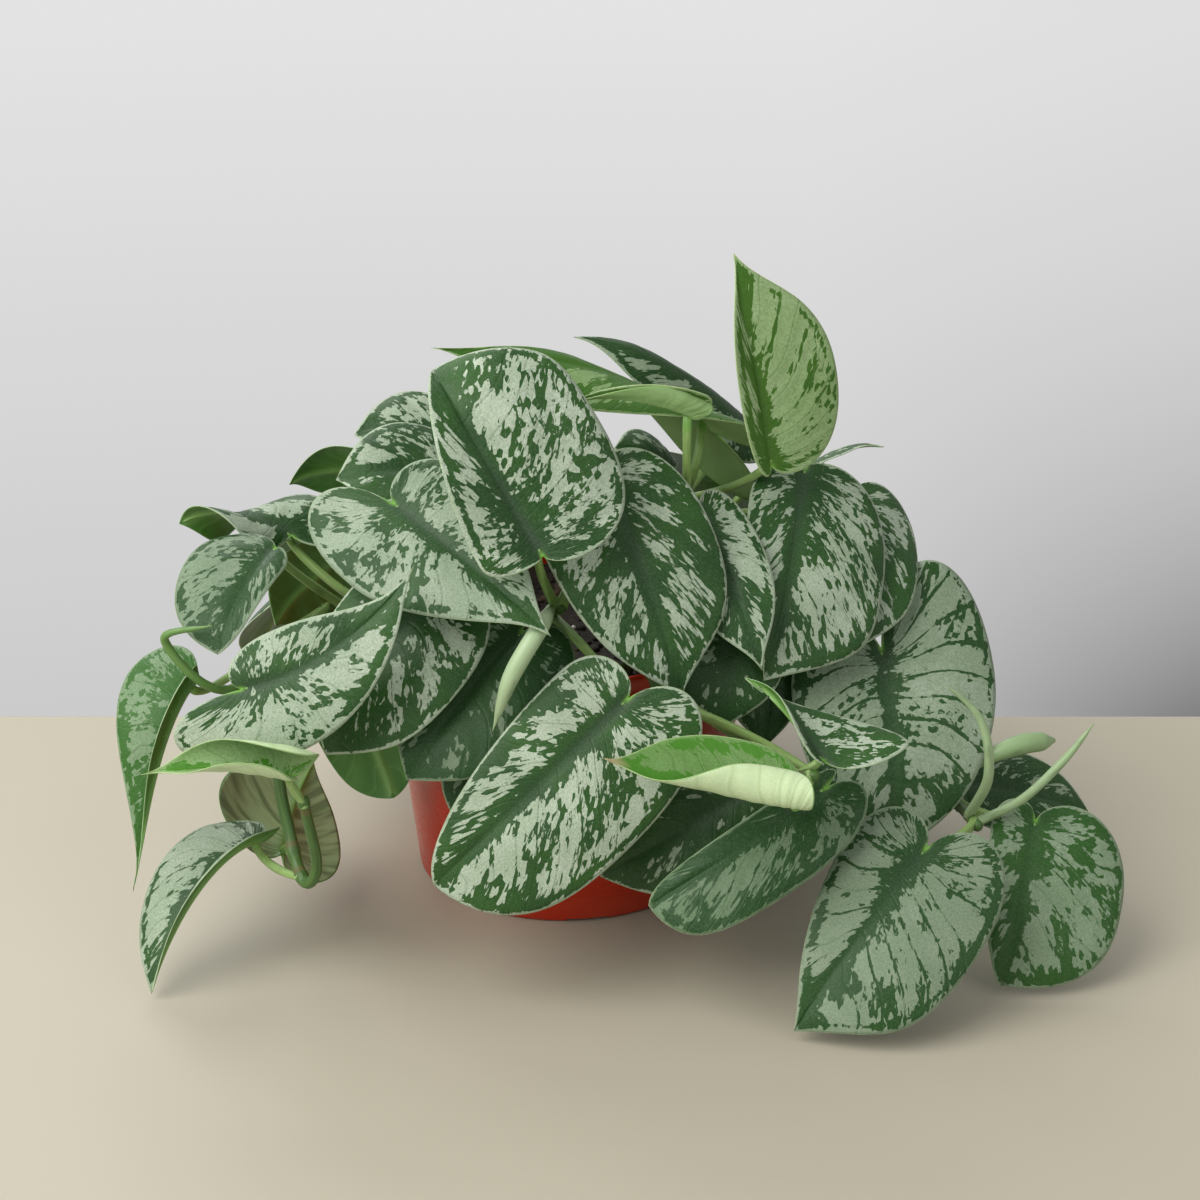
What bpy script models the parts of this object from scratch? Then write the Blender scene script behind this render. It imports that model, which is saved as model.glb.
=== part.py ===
# Satin pothos (Scindapsus pictus) in a 6 inch terracotta coloured plastic nursery pot.
#
# Frame: metres, +Z up, the origin at the centre of the pot's standing face, -Y towards the viewer.
# Lengths below are in millimetres and become metres where a mesh is made.
# The leaves and stems are placed one by one, as on the real plant. A leaf's seat is its place in the
# table: where the petiole meets the blade, where the tip is, and which way its upper side faces.

from dataclasses import dataclass
import math

import bmesh
import bpy
import numpy as np
from mathutils import Vector

MM = 0.001
GAP = 0.3                     # running clearance between neighbouring solids

# Pot: 6 inch across the rim, with a stepped wall below a tall rim band.
POT_SIDES = 40
POT_WALL = 1.3
POT_FLOOR = 3.0
POT_HEIGHT = 108.0
POT_RIM_RADIUS = 76.0
POT_BASE_RADIUS = 57.0
STEP_LOW = (62.7, 47.0)       # (radius, height) where the lower wall ends
STEP_HIGH = (66.0, 57.0)      # (radius, height) where the rim band starts
BAND_TOP = (74.0, 101.0)
LIP_HEIGHT = 7.0              # the thicker lip at the top of the band
LIP_THICK = 2.5
LIP_ROUND = 1.0
FOOT_ROUND = (1.5, 2.0)       # (inwards, upwards) at the pot's lower edge
NOTCHES = 4                   # drain channels under the floor, each with one drain hole
NOTCH_TURN = math.radians(-81.0)
NOTCH_WIDTH = 16.0
NOTCH_DEEP = 1.4
NOTCH_INNER = 30.0
DRAIN_AT = 42.0
DRAIN_RADIUS = 4.5

# Soil
SOIL_TOP = 96.0
SOIL_CROWN = 3.0
SOIL_SLACK = GAP + 0.1        # between the soil and the pot's wall
HOLE_SLACK = GAP + 0.5        # between a stem and its hole in the soil
HOLE_LENGTH = 60.0            # long enough to come out at the top
HOLE_SIDES = 8

# Stems and petioles
STEM_SIDES = 7
STEM_RADIUS = 2.7
STEM_END_RADIUS = 1.9
PETIOLE_SIDES = 5
PETIOLE_STEPS = (0.0, 0.32, 0.6, 0.84, 1.0)
PETIOLE_FOOT = 2.2
PETIOLE_TOP = 1.5

# Blades
BLADE_THICK = 0.8
ROWS = (0.0, 0.12, 0.24, 0.36, 0.48, 0.60, 0.70, 0.80, 0.90, 1.0)
COLUMNS = (0.0, 0.55, 1.0)
WAVE = 0.9                    # height of the waves along the margin
WAVES = 2.0                   # waves from the base to the tip
DRIP_START = 0.7              # share of the length from which a drawn-out tip narrows
DRIP_PULL = 0.3               # how far it pulls the margin's fullness back from the tip
PETIOLE_SEAT = 0.03           # share of the midrib's length where the petiole meets the underside
PETIOLE_LEAN = 0.3            # how far the petiole's end leans along the midrib
PETIOLE_CLEAR = GAP + 0.25    # from the petiole's end to the underside

COLOURS = {
    "terracotta": ((0.42, 0.055, 0.025), 0.32),
    "soil": ((0.030, 0.020, 0.013), 0.95),
    "stem": ((0.20, 0.36, 0.09), 0.45),
    "leaf": ((0.16, 0.27, 0.15), 0.50),
    "young_leaf": ((0.30, 0.46, 0.17), 0.45),
}


@dataclass
class Stem:
    """A vine: its line from the bottom of its hole in the soil to its tip."""

    name: str
    line: list


@dataclass
class Shoot:
    """A side shoot or a leaf that hasn't opened: a tapering bar that starts inside its stem."""

    stem: str
    line: list
    radii: tuple


@dataclass
class Leaf:
    """One blade and its petiole. left and right are the half widths, seen from above with the tip ahead.

    rise and droop are how far the midrib starts above and ends below its chord, sway bends it to the
    right. fold raises each half at the midrib and curl turns it up towards the margin, in degrees.
    drip is how far the tip is drawn out into a point, from 0 to 1.
    """

    name: str
    stem: str
    at: float
    base: tuple
    tip: tuple
    facing: tuple
    left: float = 32.0
    right: float = 32.0
    rise: float = 15.0
    droop: float = 30.0
    sway: float = 0.0
    twist: float = 0.0
    lobe: tuple = (0.13, 0.13)
    belly: tuple = (0.28, 0.28)
    full: tuple = (0.45, 0.45)
    drip: float = 0.3
    fold: tuple = (12.0, 12.0)
    curl: tuple = (-35.0, -35.0)
    bend: tuple = (0.0, 0.0, 0.0)
    finish: str = "leaf"


STEMS = [
    Stem("stem_crown", [(22, 5, 76), (26, 4, 108), (34, 2, 134), (44, 0, 150)]),
    Stem("stem_left_high", [(-14, 8, 76), (-20, 6, 110), (-34, -2, 134), (-48, -12, 146)]),
    Stem("stem_left_low", [(-34, -8, 76), (-44, -14, 110), (-66, -30, 122), (-88, -42, 122)]),
    Stem("stem_left_trail", [
        (-36, -32, 76), (-48, -44, 112), (-76, -62, 116), (-101, -80, 84), (-98, -92, 54),
        (-92, -104, 42), (-87, -110, 53), (-90, -120, 83),
    ]),
    Stem("stem_front", [(-6, -34, 76), (-6, -42, 108), (-4, -54, 126), (0, -62, 132)]),
    Stem("stem_front_right", [
        (20, -34, 76), (26, -54, 111), (32, -74, 111), (46, -94, 96), (72, -115, 91), (89, -126, 95),
    ]),
    Stem("stem_right", [(40, -4, 76), (52, -8, 110), (76, -12, 128), (96, -14, 124)]),
    Stem("stem_right_trail", [
        (44, -22, 76), (58, -28, 110), (82, -28, 115), (112, -26, 86), (140, -46, 56), (152, -82, 53),
    ]),
    Stem("stem_back_left", [(-16, 30, 76), (-24, 42, 110), (-40, 60, 122), (-56, 76, 112)]),
    Stem("stem_back_right", [(22, 32, 76), (32, 44, 110), (46, 62, 122), (60, 78, 112)]),
]

SHOOTS = [
    Shoot("stem_front", [(-4, -60, 130), (-7, -96, 138), (-17, -105, 123), (-24, -102, 101)],
          (1.8, 3.4, 3.2, 0.5)),
    Shoot("stem_left_low", [(-86, -42, 122), (-119, -82, 108), (-140, -88, 130), (-122, -94, 138)],
          (1.8, 1.7, 1.6, 0.7)),
    Shoot("stem_right_trail", [(149, -74, 53), (153, -94, 80), (149, -95, 102), (136, -95, 116)],
          (1.8, 1.9, 1.5, 0.4)),
    Shoot("stem_right_trail", [(151, -79, 53), (168, -76, 61), (183, -71, 74), (194, -68, 88)],
          (1.8, 1.7, 1.6, 0.7)),
    Shoot("stem_right_trail", [(141, -50, 55), (154, -58, 68), (169, -56, 74), (183, -50, 73)],
          (1.8, 2.4, 4.0, 3.2)),
]

LEAVES = [
    # Front: the big leaves over the pot's near side.
    Leaf("leaf_front_big", "stem_front", 0.62, (24, -100, 113), (-45, -116, 47), (0.1, -0.85, 0.5),
         left=39, right=24, rise=12, droop=20, lobe=(0.17, 0.06), belly=(0.38, 0.12), full=(0.8, 0.6),
         drip=0),
    Leaf("leaf_front_centre", "stem_front", 0.95, (14, -54, 183), (43, -88, 108), (0.15, -0.8, 0.6),
         left=31, right=32, rise=20, droop=20, lobe=(0.05, 0.1), belly=(0.42, 0.2), full=(0.4, 0.6)),
    Leaf("leaf_front_high", "stem_front", 0.85, (-6, -94, 164), (-45, -61, 221), (0.0, -0.9, 0.42),
         left=22, right=43, rise=5, droop=55, lobe=(0.02, 0.1), belly=(0.1, 0.33), full=(0.1, 0.95),
         drip=0, fold=(35, 5), bend=(-4, 0, 0)),
    Leaf("leaf_front_dark", "stem_front", 0.45, (-14, -66, 124), (-55, -98, 80), (-0.1, -0.8, 0.6),
         left=28, right=24, rise=15, droop=30, full=(0.9, 0.7)),
    Leaf("leaf_front_under", "stem_front", 0.55, (-20, -90, 96), (-36, -93, 57), (-0.1, -0.95, 0.3),
         left=20, right=18, rise=-15, droop=25, lobe=(0, 0), bend=(-3, -5, 9)),
    # Front right: the vine that hangs over the near right of the rim.
    Leaf("leaf_curled", "stem_front_right", 0.97, (83, -138, 90), (15, -141, 109),
         (0.1, -0.5, 0.86), left=24, right=19, rise=-10, droop=-12, lobe=(0.05, 0.02),
         belly=(0.1, 0.3), full=(0.1, 0.8), drip=0.8, fold=(15, 15), curl=(215, 10),
         finish="young_leaf"),
    Leaf("leaf_folded", "stem_front_right", 0.9, (91, -122, 99), (65, -96, 119), (0.35, -0.4, 0.85),
         left=9, right=30, rise=10, droop=20, twist=50, lobe=(0.05, 0.22), belly=(0.28, -0.25),
         full=(0.3, -0.35), fold=(70, 5)),
    Leaf("leaf_low_front", "stem_front_right", 0.45, (78, -92, 80), (14, -92, 38), (-0.1, -0.9, 0.4),
         left=26, right=24, full=(0.6, 0.6), lobe=(0.13, 0.0), belly=(0.28, 0.4), bend=(4, 4, 0)),
    Leaf("leaf_low_near", "stem_front_right", 0.5, (94, -106, 81), (31, -127, 45), (-0.1, -0.75, 0.65),
         left=23, right=8, sway=-9, lobe=(0.14, 0.1), belly=(0.42, 0.3), full=(0.95, 0.95),
         drip=0, bend=(8, 12, 2)),
    Leaf("leaf_hanging", "stem_front_right", 0.3, (61, -55, 125), (58, -74, 89), (0.2, -0.75, 0.6),
         left=22, right=23),
    Leaf("leaf_inner", "stem_right_trail", 0.3, (76, -44, 106), (75, -58, 74), (0.2, -0.8, 0.55),
         left=12, right=17),
    # Right
    Leaf("leaf_right_small", "stem_right", 0.5, (50, -44, 161), (72, -79, 114), (0.1, -0.8, 0.55),
         left=17, right=18, drip=0.5),
    Leaf("leaf_right_front", "stem_right", 0.6, (90, -16, 169), (73, -72, 107), (0.25, -0.6, 0.75),
         left=38, right=20, lobe=(0.05, 0.0), belly=(0.42, 0.25), full=(0.9, 0.3), fold=(8, 20),
         bend=(-6, 0, 0)),
    Leaf("leaf_right_behind", "stem_right", 0.85, (109, 4, 150), (105, -54, 110), (0.25, -0.6, 0.76),
         left=26, right=24, full=(0.8, 0.6)),
    Leaf("leaf_right_large", "stem_right", 0.97, (118, -42, 107), (122, -82, 42), (0.15, -0.85, 0.45),
         left=44, right=36, lobe=(0.4, 0.12), belly=(0.08, 0.25), full=(0.6, 0.6)),
    Leaf("leaf_trail_right_near", "stem_right_trail", 0.98, (130, -110, 59), (82, -144, 4),
         (0.0, -0.7, 0.7), left=38, right=25, lobe=(0.19, 0.1), belly=(0.34, 0.12), full=(0.75, 0.3),
         drip=0.4),
    Leaf("leaf_trail_right_far", "stem_right_trail", 0.9, (174, -74, 52), (159, -112, 4),
         (0.1, -0.75, 0.65), left=38, right=16, lobe=(0.14, 0.1), belly=(0.34, 0.1), full=(0.85, 0.5),
         drip=0),
    Leaf("leaf_trail_right_flat", "stem_right_trail", 0.8, (151, -28, 45), (205, -20, 24),
         (0.3, -0.45, 0.85), left=21, right=20, lobe=(0, 0)),
    # Left
    Leaf("leaf_left_mid", "stem_left_high", 0.9, (-60, -62, 172), (-3, -104, 138), (-0.1, -0.7, 0.7),
         left=27, right=33, rise=10, droop=15, lobe=(0.08, 0.28), belly=(0.12, 0.15), full=(0.3, 0.2),
         drip=0.5, bend=(0, 0, -14)),
    Leaf("leaf_left_low", "stem_left_low", 0.97, (-112, -104, 118), (-50, -98, 163),
         (-0.05, -0.85, 0.5), left=17, right=27, rise=10, droop=15, sway=29, lobe=(0.05, 0.33),
         belly=(0.22, 0.13), full=(0.0, 0.35), drip=0.8),
    Leaf("leaf_left_behind", "stem_left_low", 0.5, (-46, -72, 142), (-84, -94, 88), (-0.2, -0.85, 0.5),
         left=30, right=26, full=(0.7, 0.5)),
    Leaf("leaf_left_top", "stem_left_low", 0.8, (-100, -31, 147), (-141, -31, 152), (0.05, 0.2, 0.95),
         left=16, right=24, rise=38, droop=38, twist=125, lobe=(0.0, 0.3), full=(0.6, 0.6),
         fold=(5, -5)),
    Leaf("leaf_left_hang", "stem_left_low", 0.9, (-103, -55, 152), (-121, -92, 126),
         (-0.25, -0.75, 0.6), left=9, right=28, rise=30, droop=30, lobe=(0.0, 0.1), full=(0.6, 0.8),
         drip=0, bend=(6, 0, 0)),
    Leaf("leaf_left_green", "stem_left_low", 0.7, (-85, -12, 130), (-108, -24, 108), (0.2, 0.75, 0.55),
         left=20, right=18),
    Leaf("leaf_left_under", "stem_left_trail", 0.4, (-79, -41, 88), (-64, -44, 46),
         (-0.2, 0.85, 0.4), left=19, right=14, lobe=(0.1, 0.0), full=(0.8, 0.9), drip=0),
    # Left trailing vine
    Leaf("leaf_far_left", "stem_left_low", 1.0, (-132, -75, 108), (-155, -100, 36), (-0.3, -0.8, 0.4),
         left=9, right=27, rise=40, droop=10, lobe=(0.05, 0.14), belly=(0.1, 0.05), full=(0.0, 0.0),
         drip=1.0, fold=(105, 10)),
    Leaf("leaf_trail_left_rolled", "stem_left_trail", 0.99, (-92, -124, 94), (-145, -127, 96),
         (0.0, -0.4, 0.92), left=17, right=21, rise=20, droop=20, lobe=(0.0, 0.1), belly=(0.25, 0.1),
         full=(0.1, 0.1), drip=0.9, fold=(20, 30), curl=(70, 150), finish="young_leaf"),
    Leaf("leaf_trail_left_grey", "stem_left_trail", 0.6, (-106, -58, 29), (-97, -12, 46),
         (-0.5, 0.6, -0.6), left=24, right=32),
    Leaf("leaf_trail_left_low", "stem_left_trail", 0.68, (-111, -78, 46), (-148, -116, 3),
         (-0.5, -0.55, 0.65), left=7, right=27, rise=45, droop=30, belly=(0.3, 0.28),
         full=(0.2, 0.5), fold=(75, 12)),
    # Top
    Leaf("leaf_top_left_near", "stem_left_high", 0.8, (-40, -18, 166), (-83, -28, 168),
         (0.0, -0.5, 0.86), left=26, right=26),
    Leaf("leaf_top_left_far", "stem_left_high", 0.7, (-41, 14, 170), (-79, 10, 172), (0.0, -0.4, 0.9),
         left=24, right=24),
    Leaf("leaf_top_left_edge", "stem_left_high", 0.6, (-69, 26, 149), (-106, 24, 147), (0.1, 0.8, 0.6),
         left=20, right=18, rise=25, droop=35),
    Leaf("leaf_crown_upright", "stem_crown", 1.0, (76, -42, 178), (61, -38, 257), (0.1, -0.97, 0.07),
         left=10, right=30, rise=5, droop=5, lobe=(0.04, 0.06), belly=(0.35, 0.38), full=(0.1, 0.3),
         drip=0.3, fold=(40, 0), curl=(0, -20), bend=(0, -6, -6), finish="young_leaf"),
    Leaf("leaf_crown_rolled", "stem_crown", 0.8, (47, -48, 200), (3, -58, 208),
         (0.0, -0.4, 0.9), left=10, right=10, lobe=(0.1, 0.1), belly=(0.0, 0.0), full=(0.1, 0.1),
         fold=(50, 40), curl=(130, 90), bend=(4, -14, -6), finish="young_leaf"),
    Leaf("leaf_crown_long", "stem_crown", 0.9, (54, -16, 185), (-47, -38, 222), (0.0, -0.2, 1.0),
         left=27, right=17, rise=25, droop=14, twist=-105, lobe=(0.2, 0.3), belly=(0.2, 0.15),
         drip=0.9, full=(0.6, 0.1), fold=(0, 0), bend=(0, -14, 0), finish="young_leaf"),
    Leaf("leaf_crown_behind", "stem_crown", 0.95, (72, 24, 172), (4, 0, 214), (0.3, -0.4, 0.85),
         left=20, right=20, rise=15, drip=0.6, fold=(-10, -25)),
    Leaf("leaf_crown_side", "stem_crown", 0.7, (88, 30, 147), (123, 25, 162), (-0.4, 0.3, 0.87),
         left=16, right=16, lobe=(0.04, 0.04), drip=0.8),
    Leaf("leaf_crown_inner", "stem_crown", 0.6, (42, 22, 154), (19, 12, 166), (-0.3, -0.4, 0.85),
         left=16, right=18, droop=20),
    # Back: hidden in the photo, they go round the pot like the leaves in front.
    Leaf("leaf_back_1", "stem_back_left", 0.6, (-20, 62, 140), (-34, 114, 92), (-0.1, 0.8, 0.6)),
    Leaf("leaf_back_2", "stem_back_right", 0.6, (26, 64, 144), (44, 118, 94), (0.1, 0.8, 0.6)),
    Leaf("leaf_back_3", "stem_back_left", 0.9, (-74, 60, 132), (-114, 84, 76), (-0.5, 0.65, 0.6),
         left=27, right=27),
    Leaf("leaf_back_4", "stem_back_right", 0.9, (70, 62, 132), (108, 92, 72), (0.4, 0.7, 0.6)),
    Leaf("leaf_back_5", "stem_back_left", 0.7, (-4, 88, 110), (2, 112, 44), (0.0, 0.9, 0.4)),
    Leaf("leaf_back_6", "stem_back_left", 0.8, (-88, 22, 120), (-122, 42, 62), (-0.7, 0.4, 0.6)),
    Leaf("leaf_back_7", "stem_back_right", 0.8, (96, 34, 126), (130, 54, 70), (0.7, 0.4, 0.6)),
    Leaf("leaf_back_8", "stem_back_left", 0.85, (-50, 82, 97), (-62, 104, 32), (-0.3, 0.85, 0.4),
         lobe=(0.05, 0.05), bend=(6, -6, 0)),
    Leaf("leaf_back_9", "stem_back_right", 1.0, (50, 90, 108), (66, 114, 42), (0.2, 0.9, 0.4)),
    Leaf("leaf_back_10", "stem_right", 0.8, (100, 12, 112), (126, 24, 50), (0.9, 0.2, 0.4)),
]


def v3(point):
    return np.array(point, float)


def unit(vector):
    return vector / np.linalg.norm(vector)


def bezier(points, t):
    """The cubic curve through four control points at t, and its derivative."""
    a, b, c, d = (v3(p) for p in points)
    r = 1.0 - t
    place = r**3 * a + 3 * r * r * t * b + 3 * r * t * t * c + t**3 * d
    speed = 3 * r * r * (b - a) + 6 * r * t * (c - b) + 3 * t * t * (d - c)
    return place, speed


def smooth_line(points, t):
    """A curve that passes through all the points (Catmull-Rom) at t from 0 to 1, and its direction."""
    p = [v3(q) for q in points]
    p = [2 * p[0] - p[1], *p, 2 * p[-1] - p[-2]]
    spans = len(p) - 3
    i = min(int(t * spans), spans - 1)
    u = t * spans - i
    before, start, end, after = p[i:i + 4]
    controls = (start, start + (end - before) / 6, end - (after - start) / 6, end)
    place, speed = bezier(controls, u)
    return place, unit(speed)


# Leaf blades

class BladeShape:
    """Carries a flat point of the leaf onto its bent surface in space."""

    def __init__(self, leaf):
        self.leaf = leaf
        base, tip = v3(leaf.base), v3(leaf.tip)
        self.length = np.linalg.norm(tip - base)
        chord = (tip - base) / self.length
        up = v3(leaf.facing)
        self.up = unit(up - chord * (up @ chord))
        self.chord = chord
        side = np.cross(chord, self.up)
        rise, droop, sway = (math.radians(a) for a in (leaf.rise, leaf.droop, leaf.sway))
        start = chord * math.cos(rise) + self.up * math.sin(rise) + side * math.sin(sway)
        end = chord * math.cos(droop) - self.up * math.sin(droop) - side * math.sin(sway)
        third = self.length / 3
        self.controls = (base, base + unit(start) * third, tip - unit(end) * third, tip)

    def outline(self, s, half):
        """One half's margin as (across, along), in shares of its width and the length, s from 0 to 1."""
        leaf = self.leaf
        lobe, belly, full = leaf.lobe[half], leaf.belly[half], leaf.full[half]
        if s <= 0.5:
            curve = ((0, 0), (0.12, -1.5 * lobe), (1.0, -1.6 * lobe), (1.0, belly))
            return bezier([(*p, 0) for p in curve], 2 * s)[0][:2]
        curve = ((1.0, belly), (1.0, belly + 0.36), (full, 0.92 - DRIP_PULL * leaf.drip), (0, 1))
        across, along, _ = bezier([(*p, 0) for p in curve], 2 * s - 1)[0]
        near_tip = max(0.0, (along - DRIP_START) / (1 - DRIP_START))
        return across * (1 - leaf.drip * near_tip**2), along

    def frame(self, along):
        """Point, forward, right and up directions on the midrib, before the base too."""
        place, speed = bezier(self.controls, max(along, 0.0))
        forward = unit(speed)
        if along < 0:
            place = place + speed * along
        turn = math.radians(self.leaf.twist) * (along - 0.5)
        side = np.cross(self.chord, self.up)
        hint = self.up * math.cos(turn) + side * math.sin(turn)
        right = unit(np.cross(forward, hint))
        return place, forward, right, np.cross(right, forward)

    def point(self, across, along, s, t):
        """The point at across (signed, 1 at the margin's widest) and along, on row s and column t."""
        place, _, right, up = self.frame(along)
        half = 1 if across > 0 else 0
        width = self.leaf.right if half else self.leaf.left
        fold = math.radians(self.leaf.fold[half])
        curl = math.radians(self.leaf.curl[half]) or 1e-6
        turned = fold + curl * abs(across)
        out = (math.sin(turned) - math.sin(fold)) / curl * width
        lift = (math.cos(fold) - math.cos(turned)) / curl * width
        lift += WAVE * t * t * math.sin(2 * math.pi * WAVES * s + half) * math.sin(math.pi * s)
        return place + right * math.copysign(out, across) + up * lift

    def at(self, s, t):
        """The point on row s (0 the base, 1 the tip) at t from -1, the left margin, to 1, the right."""
        across, along = self.outline(s, 1 if t > 0 else 0)
        station = s**3
        share = abs(t)
        there = station + (along - station) * share**1.4
        return self.point(across * t, there, s, share)


def blade_sheet(leaf):
    """The blade's middle surface as (points, triangles): rows from the base to the tip."""
    shape = BladeShape(leaf)
    columns = [-c for c in reversed(COLUMNS[1:])] + list(COLUMNS)
    points = [shape.at(0.0, 0.0)]
    for s in ROWS[1:-1]:
        points += [shape.at(s, t) for t in columns]
    points.append(shape.at(1.0, 0.0))
    count, middle, last = len(columns), len(columns) // 2, len(points) - 1
    faces = []
    for c in range(count - 1):
        faces.append((0, 1 + c, 2 + c))
    for r in range(len(ROWS) - 3):
        for c in range(count - 1):
            a = 1 + r * count + c
            b, d, e = a + 1, a + count, a + count + 1
            faces += [(a, d, e), (a, e, b)] if c < middle else [(a, d, b), (b, d, e)]
    for c in range(count - 1):
        a = 1 + (len(ROWS) - 3) * count + c
        faces.append((a, last, a + 1))
    return points, faces


def new_mesh_object(name, points, faces, finish):
    mesh = bpy.data.meshes.new(name)
    mesh.from_pydata([tuple(v3(p) * MM) for p in points], [], faces)
    mesh.update()
    made = bpy.data.objects.new(name, mesh)
    bpy.context.scene.collection.objects.link(made)
    made.data.materials.append(material(finish))
    return made


def material(finish):
    found = bpy.data.materials.get(finish)
    if found:
        return found
    colour, roughness = COLOURS[finish]
    made = bpy.data.materials.new(finish)
    made.use_nodes = True
    shader = made.node_tree.nodes["Principled BSDF"]
    shader.inputs["Base Color"].default_value = (*colour, 1.0)
    shader.inputs["Roughness"].default_value = roughness
    return made


def make_blade(leaf):
    points, faces = blade_sheet(leaf)
    blade = new_mesh_object(leaf.name, points, faces, leaf.finish)
    blade.data.shade_smooth()
    thicken = blade.modifiers.new("thickness", "SOLIDIFY")
    thicken.thickness = BLADE_THICK * MM
    thicken.offset = 0.0
    thicken.use_even_offset = False
    return blade


# Stems and petioles

def tube(name, line, radii, sides, finish):
    """A closed round bar along the points of line, with one radius for each."""
    line = [v3(p) for p in line]
    turned = unit(np.cross(line[1] - line[0], (0.3, 1.0, 0.2)))
    points, faces = [], []
    for i, place in enumerate(line):
        ahead = unit(line[min(i + 1, len(line) - 1)] - line[max(i - 1, 0)])
        turned = unit(turned - ahead * (turned @ ahead))
        other = np.cross(ahead, turned)
        for k in range(sides):
            angle = 2 * math.pi * k / sides
            points.append(place + radii[i] * (turned * math.cos(angle) + other * math.sin(angle)))
    for i in range(len(line) - 1):
        for k in range(sides):
            a, b = i * sides + k, i * sides + (k + 1) % sides
            faces.append((a, b, b + sides, a + sides))
    faces.append(tuple(range(sides - 1, -1, -1)))
    faces.append(tuple(range((len(line) - 1) * sides, len(line) * sides)))
    made = new_mesh_object(name, points, faces, finish)
    made.data.shade_smooth()
    return made


def petiole_line(leaf, stem):
    """From the stem's centre to just under the blade's midrib, arriving from below and behind."""
    start, along_stem = smooth_line(stem.line, leaf.at)
    shape = BladeShape(leaf)
    seat, forward, _, up = shape.frame(PETIOLE_SEAT)
    clear = PETIOLE_CLEAR + BLADE_THICK / 2 + PETIOLE_TOP * PETIOLE_LEAN
    clear += PETIOLE_TOP * math.tan(math.radians(max(0, -min(leaf.fold))))
    end = seat - up * clear
    arrive = unit(up + forward * PETIOLE_LEAN)
    reach = np.linalg.norm(end - start)
    leave = unit(along_stem * 0.5 + unit(end - start))
    bend = v3(leaf.bend)
    controls = (start, start + leave * reach * 0.33 + bend, end - arrive * reach * 0.3 + bend, end)
    return [bezier(controls, t)[0] for t in PETIOLE_STEPS]


def make_stem(stem):
    """The vine with the petioles of its leaves, joined in one solid."""
    steps = 2 * (len(stem.line) - 1)
    line = [smooth_line(stem.line, i / steps)[0] for i in range(steps + 1)]
    radii = np.linspace(STEM_RADIUS, STEM_END_RADIUS, steps + 1)
    body = tube(stem.name, line, radii, STEM_SIDES, "stem")
    petioles = bpy.data.collections.new(stem.name + "_petioles")
    bpy.context.scene.collection.children.link(petioles)
    for leaf in (x for x in LEAVES if x.stem == stem.name):
        points = petiole_line(leaf, stem)
        radii = np.linspace(PETIOLE_FOOT, PETIOLE_TOP, len(points))
        bar = tube(leaf.name + "_petiole", points, radii, PETIOLE_SIDES, "stem")
        bpy.context.scene.collection.objects.unlink(bar)
        petioles.objects.link(bar)
    for shoot in (x for x in SHOOTS if x.stem == stem.name):
        steps = 2 * (len(shoot.line) - 1)
        points = [smooth_line(shoot.line, i / steps)[0] for i in range(steps + 1)]
        radii = np.interp(np.linspace(0, 1, steps + 1), np.linspace(0, 1, len(shoot.radii)), shoot.radii)
        bar = tube(stem.name + "_shoot", points, radii, PETIOLE_SIDES, "stem")
        bpy.context.scene.collection.objects.unlink(bar)
        petioles.objects.link(bar)
    join_collection(body, petioles)
    return body


def apply_modifiers(made):
    bpy.context.view_layer.update()
    graph = bpy.context.evaluated_depsgraph_get()
    mesh = bpy.data.meshes.new_from_object(made.evaluated_get(graph))
    made.modifiers.clear()
    made.data = mesh


def join_collection(body, others):
    """Unites body with all the objects of a collection, which are then removed."""
    if others.objects:
        join = body.modifiers.new("join", "BOOLEAN")
        join.operation = "UNION"
        join.operand_type = "COLLECTION"
        join.collection = others
        join.solver = "EXACT"
        apply_modifiers(body)
    for part in list(others.objects):
        bpy.data.objects.remove(part)
    bpy.data.collections.remove(others)


# Pot and soil

def turned_solid(name, profile, finish):
    """A closed profile of (radius, height) points turned about Z, where radius 0 is on the axis."""
    points, faces, rings = [], [], []
    for radius, height in profile:
        if radius == 0:
            rings.append([len(points)] * POT_SIDES)
            points.append((0.0, 0.0, height))
            continue
        rings.append(list(range(len(points), len(points) + POT_SIDES)))
        for k in range(POT_SIDES):
            angle = 2 * math.pi * k / POT_SIDES
            points.append((radius * math.cos(angle), radius * math.sin(angle), height))
    for low, high in zip(rings, rings[1:]):
        for k in range(POT_SIDES):
            n = (k + 1) % POT_SIDES
            corners = [low[k], low[n], high[n], high[k]]
            faces.append(tuple(dict.fromkeys(corners)))
    return new_mesh_object(name, points, faces, finish)


def cutter(name, centre, size=None, radius=None, depth=0.0, turn=0.0, sides=HOLE_SIDES):
    """A box of that size, or a round bar of that radius and depth, which cuts and isn't shown."""
    bm = bmesh.new()
    if size:
        bmesh.ops.create_cube(bm, size=1.0)
        bmesh.ops.scale(bm, vec=Vector(size) * MM, verts=bm.verts)
    else:
        bmesh.ops.create_cone(bm, cap_ends=True, segments=sides, radius1=radius * MM,
                              radius2=radius * MM, depth=depth * MM)
    mesh = bpy.data.meshes.new(name)
    bm.to_mesh(mesh)
    bm.free()
    made = bpy.data.objects.new(name, mesh)
    bpy.context.scene.collection.objects.link(made)
    made.location = Vector(centre) * MM
    made.rotation_euler = (0, 0, turn)
    made.hide_render = True
    made.display_type = "WIRE"
    return made


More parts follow.
